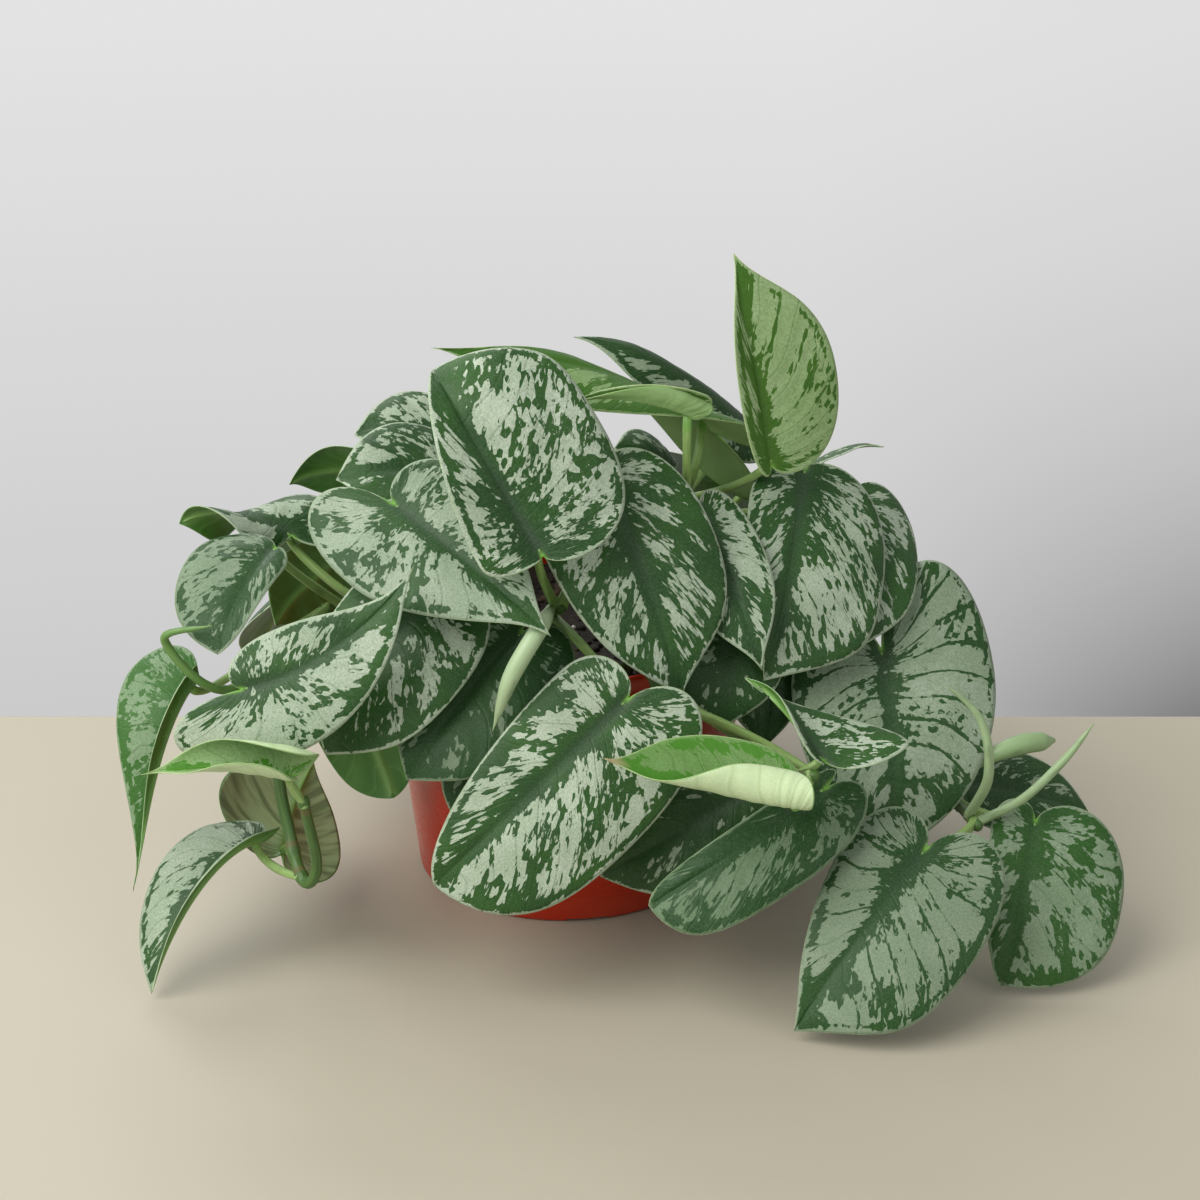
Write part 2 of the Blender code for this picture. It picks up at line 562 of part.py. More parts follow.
def cut(body, tools):
    """Takes all the tools from body, and removes them."""
    holder = bpy.data.collections.new(body.name + "_cuts")
    bpy.context.scene.collection.children.link(holder)
    for tool in tools:
        bpy.context.scene.collection.objects.unlink(tool)
        holder.objects.link(tool)
    bite = body.modifiers.new("cut", "BOOLEAN")
    bite.operation = "DIFFERENCE"
    bite.operand_type = "COLLECTION"
    bite.collection = holder
    bite.solver = "EXACT"
    apply_modifiers(body)
    for tool in tools:
        bpy.data.objects.remove(tool)
    bpy.data.collections.remove(holder)


def inner_wall():
    """The pot's inner wall as (radius, height), from its floor up to the lip."""
    outer = [(POT_BASE_RADIUS, POT_FLOOR), STEP_LOW, STEP_HIGH, (BAND_TOP[0], BAND_TOP[1] + LIP_ROUND)]
    return [(radius - POT_WALL, height) for radius, height in outer]


def make_pot():
    top, lip = POT_HEIGHT, POT_HEIGHT - LIP_HEIGHT
    profile = [
        (0, 0), (POT_BASE_RADIUS - FOOT_ROUND[0], 0), (POT_BASE_RADIUS, FOOT_ROUND[1]),
        STEP_LOW, STEP_HIGH, BAND_TOP,
        (POT_RIM_RADIUS, lip + LIP_ROUND), (POT_RIM_RADIUS, top - LIP_ROUND),
        (POT_RIM_RADIUS - LIP_ROUND, top), (POT_RIM_RADIUS - LIP_THICK, top),
        *reversed(inner_wall()), (0, POT_FLOOR),
    ]
    pot = turned_solid("pot", profile, "terracotta")
    pot.data.shade_smooth()
    pot.data.set_sharp_from_angle(angle=math.radians(30))
    tools = []
    for k in range(NOTCHES):
        turn = NOTCH_TURN + 2 * math.pi * k / NOTCHES
        ahead = Vector((math.cos(turn), math.sin(turn), 0))
        long = POT_BASE_RADIUS + 4 - NOTCH_INNER
        tools.append(cutter("notch", ahead * (NOTCH_INNER + long / 2), turn=turn,
                            size=(long, NOTCH_WIDTH, 2 * NOTCH_DEEP)))
        tools.append(cutter("drain", ahead * DRAIN_AT + Vector((0, 0, POT_FLOOR / 2)),
                            radius=DRAIN_RADIUS, depth=2 * POT_FLOOR, sides=12))
    cut(pot, tools)
    return pot


def wall_radius(height):
    """The pot's inner radius at a height between the floor and the lip."""
    radii, heights = zip(*inner_wall())
    return float(np.interp(height, heights, radii))


def make_soil():
    low = POT_FLOOR + GAP
    levels = (low, STEP_LOW[1], STEP_HIGH[1], SOIL_TOP - 2)
    profile = [(0, low)] + [(wall_radius(h) - SOIL_SLACK, h) for h in levels]
    edge = wall_radius(SOIL_TOP)
    profile += [(edge - 4, SOIL_TOP), (edge * 0.5, SOIL_TOP + SOIL_CROWN), (0, SOIL_TOP + SOIL_CROWN)]
    soil = turned_solid("soil", profile, "soil")
    tools = []
    for stem in STEMS:
        foot = v3(stem.line[0])
        above, _ = smooth_line(stem.line, 0.5 / (len(stem.line) - 1))
        lean = Vector(above - foot).normalized()
        centre = foot + v3(lean) * (HOLE_LENGTH / 2 - GAP)
        hole = cutter("hole", centre, radius=STEM_RADIUS + HOLE_SLACK, depth=HOLE_LENGTH)
        hole.rotation_mode = "QUATERNION"
        hole.rotation_quaternion = lean.to_track_quat("Z", "Y")
        tools.append(hole)
    cut(soil, tools)
    return soil


def main():
    for old in list(bpy.data.objects):
        bpy.data.objects.remove(old)
    make_pot()
    make_soil()
    for stem in STEMS:
        make_stem(stem)
    for leaf in LEAVES:
        make_blade(leaf)


main()
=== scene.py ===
import math
import random

import bmesh
import bpy
import numpy as np
from mathutils import Matrix, Vector


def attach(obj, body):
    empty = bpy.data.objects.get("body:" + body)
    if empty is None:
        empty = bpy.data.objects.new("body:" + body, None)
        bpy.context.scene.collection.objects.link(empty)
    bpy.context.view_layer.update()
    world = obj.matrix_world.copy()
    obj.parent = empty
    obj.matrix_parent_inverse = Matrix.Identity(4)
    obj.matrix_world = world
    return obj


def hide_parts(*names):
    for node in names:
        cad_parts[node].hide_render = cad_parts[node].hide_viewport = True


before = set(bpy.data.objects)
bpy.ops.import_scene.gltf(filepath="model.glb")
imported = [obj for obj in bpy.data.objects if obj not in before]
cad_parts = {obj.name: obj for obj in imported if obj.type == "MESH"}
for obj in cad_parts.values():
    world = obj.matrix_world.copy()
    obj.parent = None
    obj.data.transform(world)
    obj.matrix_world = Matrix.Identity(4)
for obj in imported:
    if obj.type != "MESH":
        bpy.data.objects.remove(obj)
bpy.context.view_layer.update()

# Satin pothos in its nursery pot. Places are in millimetres in the CAD frame: x right, y away, z up.

mm = 0.001
scene = bpy.context.scene
print("frame loaded:", len(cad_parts), "nodes")


def addObject(name, data):
    made = bpy.data.objects.new(name, data)
    scene.collection.objects.link(made)
    return made


# Camera and lamps, in mm and watts

view = dict(place=(13.9, -1061.9, 548.6), tilt=-22.5, lens=90.0, film=36.0)


def putCamera():
    data = bpy.data.cameras.new("camera")
    data.lens, data.sensor_width = view["lens"], view["film"]
    scene.camera = addObject("camera", data)
    scene.camera.location = Vector(view["place"]) * mm
    scene.camera.rotation_euler = (math.radians(90 + view["tilt"]), 0, 0)


lamps = {
    "window": dict(place=(-1400, -1000, 1700), aim=(0, 0, 110), size=2300, watts=58,
                   tint=(1.0, 0.985, 0.96)),
    "fill": dict(place=(1500, -1500, 1100), aim=(0, 0, 110), size=1600, watts=6, tint=(0.96, 0.98, 1.0)),
    "back": dict(place=(-600, 1500, 1500), aim=(0, 0, 150), size=1200, watts=14, tint=(1.0, 1.0, 1.0)),
}


def putLamps():
    for name, lamp in lamps.items():
        data = bpy.data.lights.new(name, "AREA")
        data.shape, data.size = "DISK", lamp["size"] * mm
        data.energy, data.color = lamp["watts"], lamp["tint"]
        made = addObject(name, data)
        made.location = Vector(lamp["place"]) * mm
        aim = Vector(lamp["aim"]) - Vector(lamp["place"])
        made.rotation_euler = aim.to_track_quat("-Z", "Y").to_euler()
    scene.view_settings.view_transform = "Standard"


putCamera()
putLamps()
print("camera and lamps placed")


# Shader writing: a wire is an output socket that arithmetic can be done with

class Wire:
    def __init__(self, finish, socket):
        self.finish, self.socket = finish, socket

    def __add__(self, other):
        return self.finish.maths("ADD", self, other)

    def __sub__(self, other):
        return self.finish.maths("SUBTRACT", self, other)

    def __rsub__(self, other):
        return self.finish.maths("SUBTRACT", other, self)

    def __mul__(self, other):
        return self.finish.maths("MULTIPLY", self, other)

    def __truediv__(self, other):
        return self.finish.maths("DIVIDE", self, other)

    def __pow__(self, other):
        return self.finish.maths("POWER", self, other)

    def __rtruediv__(self, other):
        return self.finish.maths("DIVIDE", other, self)

    def __rpow__(self, other):
        return self.finish.maths("POWER", other, self)

    __radd__ = __add__
    __rmul__ = __mul__


class Finish:
    def __init__(self, name, **constants):
        self.material = bpy.data.materials.new(name)
        self.material.use_nodes = True
        self.tree = self.material.node_tree
        self.shader = self.tree.nodes["Principled BSDF"]
        for socket, value in constants.items():
            self.shader.inputs[socket.replace("_", " ")].default_value = value

    def node(self, kind, settings={}, values={}, output=0):     # one output, or several as a tuple
        made = self.tree.nodes.new(kind)
        for key, value in settings.items():
            setattr(made, key, value)
        for key, value in values.items():
            socket = made.inputs[key]
            if isinstance(value, Wire):
                self.tree.links.new(value.socket, socket)
            else:
                socket.default_value = (*value, 1) if socket.type == "RGBA" else value
        if isinstance(output, tuple):
            return [Wire(self, made.outputs[key]) for key in output]
        return Wire(self, made.outputs[output])

    def maths(self, operation, a, b):
        return self.node("ShaderNodeMath", {"operation": operation}, {0: a, 1: b})

    def attribute(self, name, output="Vector"):
        return self.node("ShaderNodeAttribute", {"attribute_name": name}, output=output)

    def parts(self, vector):
        return self.node("ShaderNodeSeparateXYZ", {}, {0: vector}, output=(0, 1, 2))

    def stretch(self, vector, scale, shift=(0, 0, 0)):
        return self.node("ShaderNodeVectorMath", {"operation": "MULTIPLY_ADD"},
                         {0: vector, 1: scale, 2: shift})

    def noise(self, vector, scale=1.0, shift=(0, 0, 0), detail=0.0, roughness=0.5):
        if isinstance(scale, tuple):        # a scale for each axis
            vector, scale = self.stretch(vector, scale, shift), 1.0
        return self.node("ShaderNodeTexNoise", {},
                         {"Vector": vector, "Scale": scale, "Detail": detail, "Roughness": roughness})

    def ramp(self, value, low, high, start=0.0, end=1.0, kind="LINEAR"):
        return self.node("ShaderNodeMapRange", {"interpolation_type": kind},
                         {0: value, 1: low, 2: high, 3: start, 4: end})

    def bell(self, value, width):       # 1 where the value is nought, less on both sides of it
        share = value / width
        return 2.718 ** (share * share * -1)

    def mix(self, a, b, share):
        return self.node("ShaderNodeMix", {"data_type": "RGBA"}, {0: share, 6: a, 7: b}, output=2)

    def coat(self, colour, *coats):     # each coat is a tone and how much of what is below it hides
        for tone, share in coats:
            colour = self.mix(colour, tone, share)
        return colour

    def wear(self, colour, roughness, bump, depth, reach):
        relief = self.node("ShaderNodeBump", {}, {"Height": bump, "Strength": depth, "Distance": reach})
        for socket, wire in (("Base Color", colour), ("Roughness", roughness), ("Normal", relief)):
            self.tree.links.new(wire.socket, self.shader.inputs[socket])
        return self.material


class Room(Finish):
    def __init__(self, name):
        self.world = bpy.data.worlds.new(name)
        self.world.use_nodes = True
        self.tree = self.world.node_tree
        self.ground = self.tree.nodes["Background"]


# The room is lighter on the left. For camera rays the world is a painted wall with painted shade. seenTop,
# seenLow: what the camera sees of the wall at the picture's top and at the table's edge, where its height is
# wallTop and wallLow. rightDim: how much painted shade darkens it at the right, from rightStart to rightEnd
room = dict(tint=(0.985, 0.98, 0.985), left=0.74, right=0.36, spread=0.9, seenTop=0.785, seenLow=0.61,
            wallTop=-0.198, wallLow=-0.411, rightDim=(0.04, 0.39), rightStart=0.07, rightEnd=0.195)


def lightRoom():
    air = Room("room")
    x, _, z = air.parts(air.node("ShaderNodeTexCoord", output="Generated"))
    around = air.ramp(x, -room["spread"], room["spread"], room["left"], room["right"], "SMOOTHSTEP")
    low = air.ramp(z, room["wallTop"], room["wallLow"])
    dimTop, dimLow = room["rightDim"]
    # painted shade on the wall that the camera sees, darker towards the table's edge and at the lower right
    dim = (low ** 3 * (dimLow - dimTop) + dimTop) * air.ramp(x, room["rightStart"], room["rightEnd"])
    seen = low * (room["seenLow"] - room["seenTop"]) + room["seenTop"] - dim
    direct = air.node("ShaderNodeLightPath", output="Is Camera Ray")
    strength = around + (seen - around) * direct
    air.ground.inputs["Color"].default_value = (*room["tint"], 1)
    air.tree.links.new(strength.socket, air.ground.inputs["Strength"])
    scene.world = air.world


lightRoom()
print("room lit")


# Curves and meshes

def vec(point):
    return np.array(point, float)


def unit(vectors):
    return vectors / np.linalg.norm(vectors, axis=-1, keepdims=True)


def cubic(a, b, c, d, t):
    r = 1 - t
    return r**3 * a + 3 * r * r * t * b + 3 * r * t * t * c + t**3 * d


def slope(a, b, c, d, t):       # the cubic's derivative
    r = 1 - t
    return 3 * r * r * (b - a) + 6 * r * t * (c - b) + 3 * t * t * (d - c)


def bezier(points, t):          # place and derivative for all t at once
    curve = (*(vec(p) for p in points), np.asarray(t, float)[..., None])
    return cubic(*curve), slope(*curve)


def smoothLine(points, t):      # a curve through all the points, as in the CAD, with its direction
    p = [vec(q) for q in points]
    p = np.array([2 * p[0] - p[1], *p, 2 * p[-1] - p[-2]])
    spans = len(p) - 3
    t = np.atleast_1d(np.asarray(t, float))
    i = np.minimum((t * spans).astype(int), spans - 1)
    before, start, end, after = p[i], p[i + 1], p[i + 2], p[i + 3]
    curve = start, start + (end - before) / 6, end - (after - start) / 6, end, (t * spans - i)[:, None]
    return cubic(*curve), unit(slope(*curve))


def steps(path):
    return np.linalg.norm(np.diff(path, axis=0), axis=1)


def runAlong(path):
    return np.concatenate([[0], np.cumsum(steps(path))])


def ringAngles(sides):
    return 2 * np.pi * np.arange(sides) / sides


def smoothPulse(value, width):
    return np.exp(-(value / width) ** 2)


def tubeFaces(rows, sides, first):
    faces = []
    for i in range(rows - 1):
        for k in range(sides):
            a, b = first + i * sides + k, first + i * sides + (k + 1) % sides
            faces.append([a, b, b + sides, a + sides])
    low, high = first + rows * sides, first + rows * sides + 1
    last = first + (rows - 1) * sides
    faces += [[low, first + (k + 1) % sides, first + k] for k in range(sides)]
    faces += [[high, last + k, last + (k + 1) % sides] for k in range(sides)]
    return faces


def meshObject(name, points, faces):
    mesh = bpy.data.meshes.new(name)
    mesh.from_pydata((np.asarray(points) * mm).tolist(), [], [[int(i) for i in face] for face in faces])
    mesh.polygons.foreach_set("use_smooth", np.ones(len(mesh.polygons), bool))
    mesh.update()
    return addObject(name, mesh)


def setAttribute(made, name, values):
    values = np.asarray(values, np.float32)
    kind, key = ("FLOAT_VECTOR", "vector") if values.ndim > 1 else ("FLOAT", "value")
    made.data.attributes.new(name, kind, "POINT").data.foreach_set(key, values.ravel())


# Leaves. Each hangs on a stem, at a share of its length, by a petiole that the bend pushes aside. base, tip,
# facing: how the blade lies. Pairs are for its left and right half. wide: half widths. lobe: how far the
# lobes reach back. belly: where it is widest. full, drip: how blunt and how drawn out the tip is. rise,
# droop, sway, twist, fold, curl: degrees. silver: how much of it is silver. streak: dark lines along the
# side veins. dim: painted shade, how far the silver and the green are darkened where the leaf lies
# in shade. fresh: how bright the green is. pale: how light the underside is. dried: how far the tip has
# withered

usual = dict(wide=(32, 32), rise=15, droop=30, sway=0, twist=0, lobe=(0.13, 0.13), belly=(0.28, 0.28),
             full=(0.45, 0.45), drip=0.3, fold=(12, 12), curl=(-35, -35), bend=(0, 0, 0), finish="leaf",
             silver=0.5, streak=0.2, dim=0.0, dried=0.0, fresh=0.0, pale=0.0)


def leafOn(stem, at, base, tip, facing, **own):
    return {**usual, **own, "stem": stem, "at": at, "base": base, "tip": tip, "facing": facing}


leaves = {
    "leaf_front_big": leafOn("stem_front", 0.62, (24, -100, 113), (-45, -116, 47), (0.1, -0.85, 0.5),
        wide=(39, 24), rise=12, droop=20, lobe=(0.17, 0.06), belly=(0.38, 0.12), full=(0.8, 0.6), drip=0,
        silver=0.55),
    "leaf_front_centre": leafOn("stem_front", 0.95, (14, -54, 183), (43, -88, 108), (0.15, -0.8, 0.6),
        wide=(31, 32), rise=20, droop=20, lobe=(0.05, 0.1), belly=(0.42, 0.2), full=(0.4, 0.6), silver=0.47,
        dim=0.1),
    "leaf_front_high": leafOn("stem_front", 0.85, (-6, -94, 164), (-45, -61, 221), (0.0, -0.9, 0.42),
        wide=(22, 43), rise=5, droop=55, lobe=(0.02, 0.1), belly=(0.1, 0.33), full=(0.1, 0.95), drip=0,
        fold=(35, 5), bend=(-4, 0, 0), silver=0.53),
    "leaf_front_dark": leafOn("stem_front", 0.45, (-14, -66, 124), (-55, -98, 80), (-0.1, -0.8, 0.6),
        wide=(28, 24), full=(0.9, 0.7), silver=0.38, dim=0.8),
    "leaf_front_under": leafOn("stem_front", 0.55, (-20, -90, 96), (-36, -93, 57), (-0.1, -0.95, 0.3),
        wide=(20, 18), rise=-15, droop=25, lobe=(0, 0), bend=(-3, -5, 9), silver=0.4, dim=0.6),
    "leaf_curled": leafOn("stem_front_right", 0.97, (83, -138, 90), (15, -141, 109), (0.1, -0.5, 0.86),
        wide=(24, 19), rise=-10, droop=-12, lobe=(0.05, 0.02), belly=(0.1, 0.3), full=(0.1, 0.8), drip=0.8,
        fold=(15, 15), curl=(215, 10), finish="young_leaf", silver=0.6, dim=0.4, dried=1.0, fresh=1.0,
        pale=1.0),
    "leaf_folded": leafOn("stem_front_right", 0.9, (91, -122, 99), (65, -96, 119), (0.35, -0.4, 0.85),
        wide=(9, 30), rise=10, droop=20, twist=50, lobe=(0.05, 0.22), belly=(0.28, -0.25),
        full=(0.3, -0.35), fold=(70, 5), silver=0.53, dim=0.1),
    "leaf_low_front": leafOn("stem_front_right", 0.45, (78, -92, 80), (14, -92, 38), (-0.1, -0.9, 0.4),
        wide=(26, 24), full=(0.6, 0.6), lobe=(0.13, 0.0), belly=(0.28, 0.4), bend=(4, 4, 0), silver=0.38,
        dim=0.2),
    "leaf_low_near": leafOn("stem_front_right", 0.5, (94, -106, 81), (31, -127, 45), (-0.1, -0.75, 0.65),
        wide=(23, 8), sway=-9, lobe=(0.14, 0.1), belly=(0.42, 0.3), full=(0.95, 0.95), drip=0,
        bend=(8, 12, 2), silver=0.52, dim=0.9),
    "leaf_hanging": leafOn("stem_front_right", 0.3, (61, -55, 125), (58, -74, 89), (0.2, -0.75, 0.6),
        wide=(22, 23), silver=0.42, dim=0.4),
    "leaf_inner": leafOn("stem_right_trail", 0.3, (76, -44, 106), (75, -58, 74), (0.2, -0.8, 0.55),
        wide=(12, 17), silver=0.38, dim=0.8),
    "leaf_right_small": leafOn("stem_right", 0.5, (50, -44, 161), (72, -79, 114), (0.1, -0.8, 0.55),
        wide=(17, 18), drip=0.5, silver=0.63, dim=0.1),
    "leaf_right_front": leafOn("stem_right", 0.6, (90, -16, 169), (73, -72, 107), (0.25, -0.6, 0.75),
        wide=(38, 20), lobe=(0.05, 0.0), belly=(0.42, 0.25), full=(0.9, 0.3), fold=(8, 20), bend=(-6, 0, 0),
        silver=0.55, dim=0.2),
    "leaf_right_behind": leafOn("stem_right", 0.85, (109, 4, 150), (105, -54, 110), (0.25, -0.6, 0.76),
        wide=(26, 24), full=(0.8, 0.6), silver=0.44, dim=0.3),
    "leaf_right_large": leafOn("stem_right", 0.97, (118, -42, 107), (122, -82, 42), (0.15, -0.85, 0.45),
        wide=(44, 36), lobe=(0.4, 0.12), belly=(0.08, 0.25), full=(0.6, 0.6), silver=0.67, streak=0.8,
        dim=0.45),
    "leaf_trail_right_near": leafOn("stem_right_trail", 0.98, (130, -110, 59), (82, -144, 4),
        (0.0, -0.7, 0.7), wide=(38, 25), lobe=(0.19, 0.1), belly=(0.34, 0.12), full=(0.75, 0.3), drip=0.4,
        silver=0.65, streak=0.6, dim=0.65),
    "leaf_trail_right_far": leafOn("stem_right_trail", 0.9, (174, -74, 52), (159, -112, 4),
        (0.1, -0.75, 0.65), wide=(38, 16), lobe=(0.14, 0.1), belly=(0.34, 0.1), full=(0.85, 0.5), drip=0,
        silver=0.57, streak=0.4, dim=0.6, fresh=0.25),
    "leaf_trail_right_flat": leafOn("stem_right_trail", 0.8, (151, -28, 45), (205, -20, 24),
        (0.3, -0.45, 0.85), wide=(21, 20), lobe=(0, 0), silver=0.42, dim=0.5),
    "leaf_left_mid": leafOn("stem_left_high", 0.9, (-60, -62, 172), (-3, -104, 138), (-0.1, -0.7, 0.7),
        wide=(27, 33), rise=10, droop=15, lobe=(0.08, 0.28), belly=(0.12, 0.15), full=(0.3, 0.2), drip=0.5,
        bend=(0, 0, -14), silver=0.63, dim=0.35),
    "leaf_left_low": leafOn("stem_left_low", 0.97, (-112, -104, 118), (-50, -98, 163), (-0.05, -0.85, 0.5),
        wide=(17, 27), rise=10, droop=15, sway=29, lobe=(0.05, 0.33), belly=(0.22, 0.13), full=(0.0, 0.35),
        drip=0.8, silver=0.66, dim=0.15),
    "leaf_left_behind": leafOn("stem_left_low", 0.5, (-46, -72, 142), (-84, -94, 88), (-0.2, -0.85, 0.5),
        wide=(30, 26), full=(0.7, 0.5), silver=0.46, dim=0.1),
    "leaf_left_top": leafOn("stem_left_low", 0.8, (-100, -31, 147), (-141, -31, 152), (0.05, 0.2, 0.95),
        wide=(16, 24), rise=38, droop=38, twist=125, lobe=(0.0, 0.3), full=(0.6, 0.6), fold=(5, -5),
        silver=0.62, dim=0.2),
    "leaf_left_hang": leafOn("stem_left_low", 0.9, (-103, -55, 152), (-121, -92, 126), (-0.25, -0.75, 0.6),
        wide=(9, 28), rise=30, lobe=(0.0, 0.1), full=(0.6, 0.8), drip=0, bend=(6, 0, 0), silver=0.65,
        dim=0.7),
    "leaf_left_green": leafOn("stem_left_low", 0.7, (-85, -12, 130), (-108, -24, 108), (0.2, 0.75, 0.55),
        wide=(20, 18), pale=0.05),
    "leaf_left_under": leafOn("stem_left_trail", 0.4, (-79, -41, 88), (-64, -44, 46), (-0.2, 0.85, 0.4),
        wide=(19, 14), lobe=(0.1, 0.0), full=(0.8, 0.9), drip=0, dim=0.6),
    "leaf_far_left": leafOn("stem_left_low", 1.0, (-132, -75, 108), (-155, -100, 36), (-0.3, -0.8, 0.4),
        wide=(9, 27), rise=40, droop=10, lobe=(0.05, 0.14), belly=(0.1, 0.05), full=(0.0, 0.0), drip=1.0,
        fold=(105, 10), fresh=0.6, dim=0.6),
    "leaf_trail_left_rolled": leafOn("stem_left_trail", 0.99, (-92, -124, 94), (-145, -127, 96),
        (0.0, -0.4, 0.92), wide=(17, 21), rise=20, droop=20, lobe=(0.0, 0.1), belly=(0.25, 0.1),
        full=(0.1, 0.1), drip=0.9, fold=(20, 30), curl=(70, 150), finish="young_leaf", silver=1.0,
        fresh=0.6, pale=0.9),
    "leaf_trail_left_grey": leafOn("stem_left_trail", 0.6, (-106, -58, 29), (-97, -12, 46),
        (-0.5, 0.6, -0.6), wide=(24, 32), streak=1.0, pale=0.6),
    "leaf_trail_left_low": leafOn("stem_left_trail", 0.68, (-111, -78, 46), (-148, -116, 3),
        (-0.5, -0.55, 0.65), wide=(7, 27), rise=45, belly=(0.3, 0.28), full=(0.2, 0.5), fold=(75, 12),
        silver=0.67, dim=0.3),
    "leaf_top_left_near": leafOn("stem_left_high", 0.8, (-40, -18, 166), (-83, -28, 168), (0.0, -0.5, 0.86),
        wide=(26, 26), silver=0.48, dim=0.1),
    "leaf_top_left_far": leafOn("stem_left_high", 0.7, (-41, 14, 170), (-79, 10, 172), (0.0, -0.4, 0.9),
        wide=(24, 24), silver=0.48, dim=0.1),
    "leaf_top_left_edge": leafOn("stem_left_high", 0.6, (-69, 26, 149), (-106, 24, 147), (0.1, 0.8, 0.6),
        wide=(20, 18), rise=25, droop=35),
    "leaf_crown_upright": leafOn("stem_crown", 1.0, (76, -42, 178), (61, -38, 257), (0.1, -0.97, 0.07),
        wide=(10, 30), rise=5, droop=5, lobe=(0.04, 0.06), belly=(0.35, 0.38), full=(0.1, 0.3),
        fold=(40, 0), curl=(0, -20), bend=(0, -6, -6), finish="young_leaf", silver=0.73),
    "leaf_crown_rolled": leafOn("stem_crown", 0.8, (47, -48, 200), (3, -58, 208), (0.0, -0.4, 0.9),
        wide=(10, 10), lobe=(0.1, 0.1), belly=(0.0, 0.0), full=(0.1, 0.1), fold=(50, 40), curl=(130, 90),
        bend=(4, -14, -6), finish="young_leaf", pale=0.2),
    "leaf_crown_long": leafOn("stem_crown", 0.9, (54, -16, 185), (-47, -38, 222), (0.0, -0.2, 1.0),
        wide=(27, 17), rise=25, droop=14, twist=-105, lobe=(0.2, 0.3), belly=(0.2, 0.15), drip=0.9,
        full=(0.6, 0.1), fold=(0, 0), bend=(0, -14, 0), finish="young_leaf", dim=0.45, pale=0.3),
    "leaf_crown_behind": leafOn("stem_crown", 0.95, (72, 24, 172), (4, 0, 214), (0.3, -0.4, 0.85),
        wide=(20, 20), drip=0.6, fold=(-10, -25), silver=0.54, dim=0.3),
    "leaf_crown_side": leafOn("stem_crown", 0.7, (88, 30, 147), (123, 25, 162), (-0.4, 0.3, 0.87),
        wide=(16, 16), lobe=(0.04, 0.04), drip=0.8),
    "leaf_crown_inner": leafOn("stem_crown", 0.6, (42, 22, 154), (19, 12, 166), (-0.3, -0.4, 0.85),
        wide=(16, 18), droop=20, silver=0.48, dim=0.4),
    "leaf_back_1": leafOn("stem_back_left", 0.6, (-20, 62, 140), (-34, 114, 92), (-0.1, 0.8, 0.6)),
    "leaf_back_2": leafOn("stem_back_right", 0.6, (26, 64, 144), (44, 118, 94), (0.1, 0.8, 0.6)),
    "leaf_back_3": leafOn("stem_back_left", 0.9, (-74, 60, 132), (-114, 84, 76), (-0.5, 0.65, 0.6),
        wide=(27, 27)),
    "leaf_back_4": leafOn("stem_back_right", 0.9, (70, 62, 132), (108, 92, 72), (0.4, 0.7, 0.6)),
    "leaf_back_5": leafOn("stem_back_left", 0.7, (-4, 88, 110), (2, 112, 44), (0.0, 0.9, 0.4)),
    "leaf_back_6": leafOn("stem_back_left", 0.8, (-88, 22, 120), (-122, 42, 62), (-0.7, 0.4, 0.6)),
    "leaf_back_7": leafOn("stem_back_right", 0.8, (96, 34, 126), (130, 54, 70), (0.7, 0.4, 0.6)),
    "leaf_back_8": leafOn("stem_back_left", 0.85, (-50, 82, 97), (-62, 104, 32), (-0.3, 0.85, 0.4),
        lobe=(0.05, 0.05), bend=(6, -6, 0)),
    "leaf_back_9": leafOn("stem_back_right", 1.0, (50, 90, 108), (66, 114, 42), (0.2, 0.9, 0.4)),
    "leaf_back_10": leafOn("stem_right", 0.8, (100, 12, 112), (126, 24, 50), (0.9, 0.2, 0.4)),
}

blade = dict(rows=62, columns=21, crowd=0.9, thick=0.55, edge=0.22, bevel=0.08, wave=0.9, waves=2,
             sinus=0.12, lobePull=(-1.5, -1.6), fullFrom=0.36, fullTo=0.92, dripStart=0.7, dripPull=0.3,
             veinFan=1.4, veinEvery=7.5, veinReach=1.3, fewestVeins=6, veinBow=0.14, veinStray=0.1,
             veinSink=0.2, veinWide=0.9, midribSink=0.55, midribWide=1.5, ribStand=0.8, swell=0.42,
             swellFrom=0.05, swellFull=0.2, swellEnd=0.15, uneven=0.9, marginSteps=360)


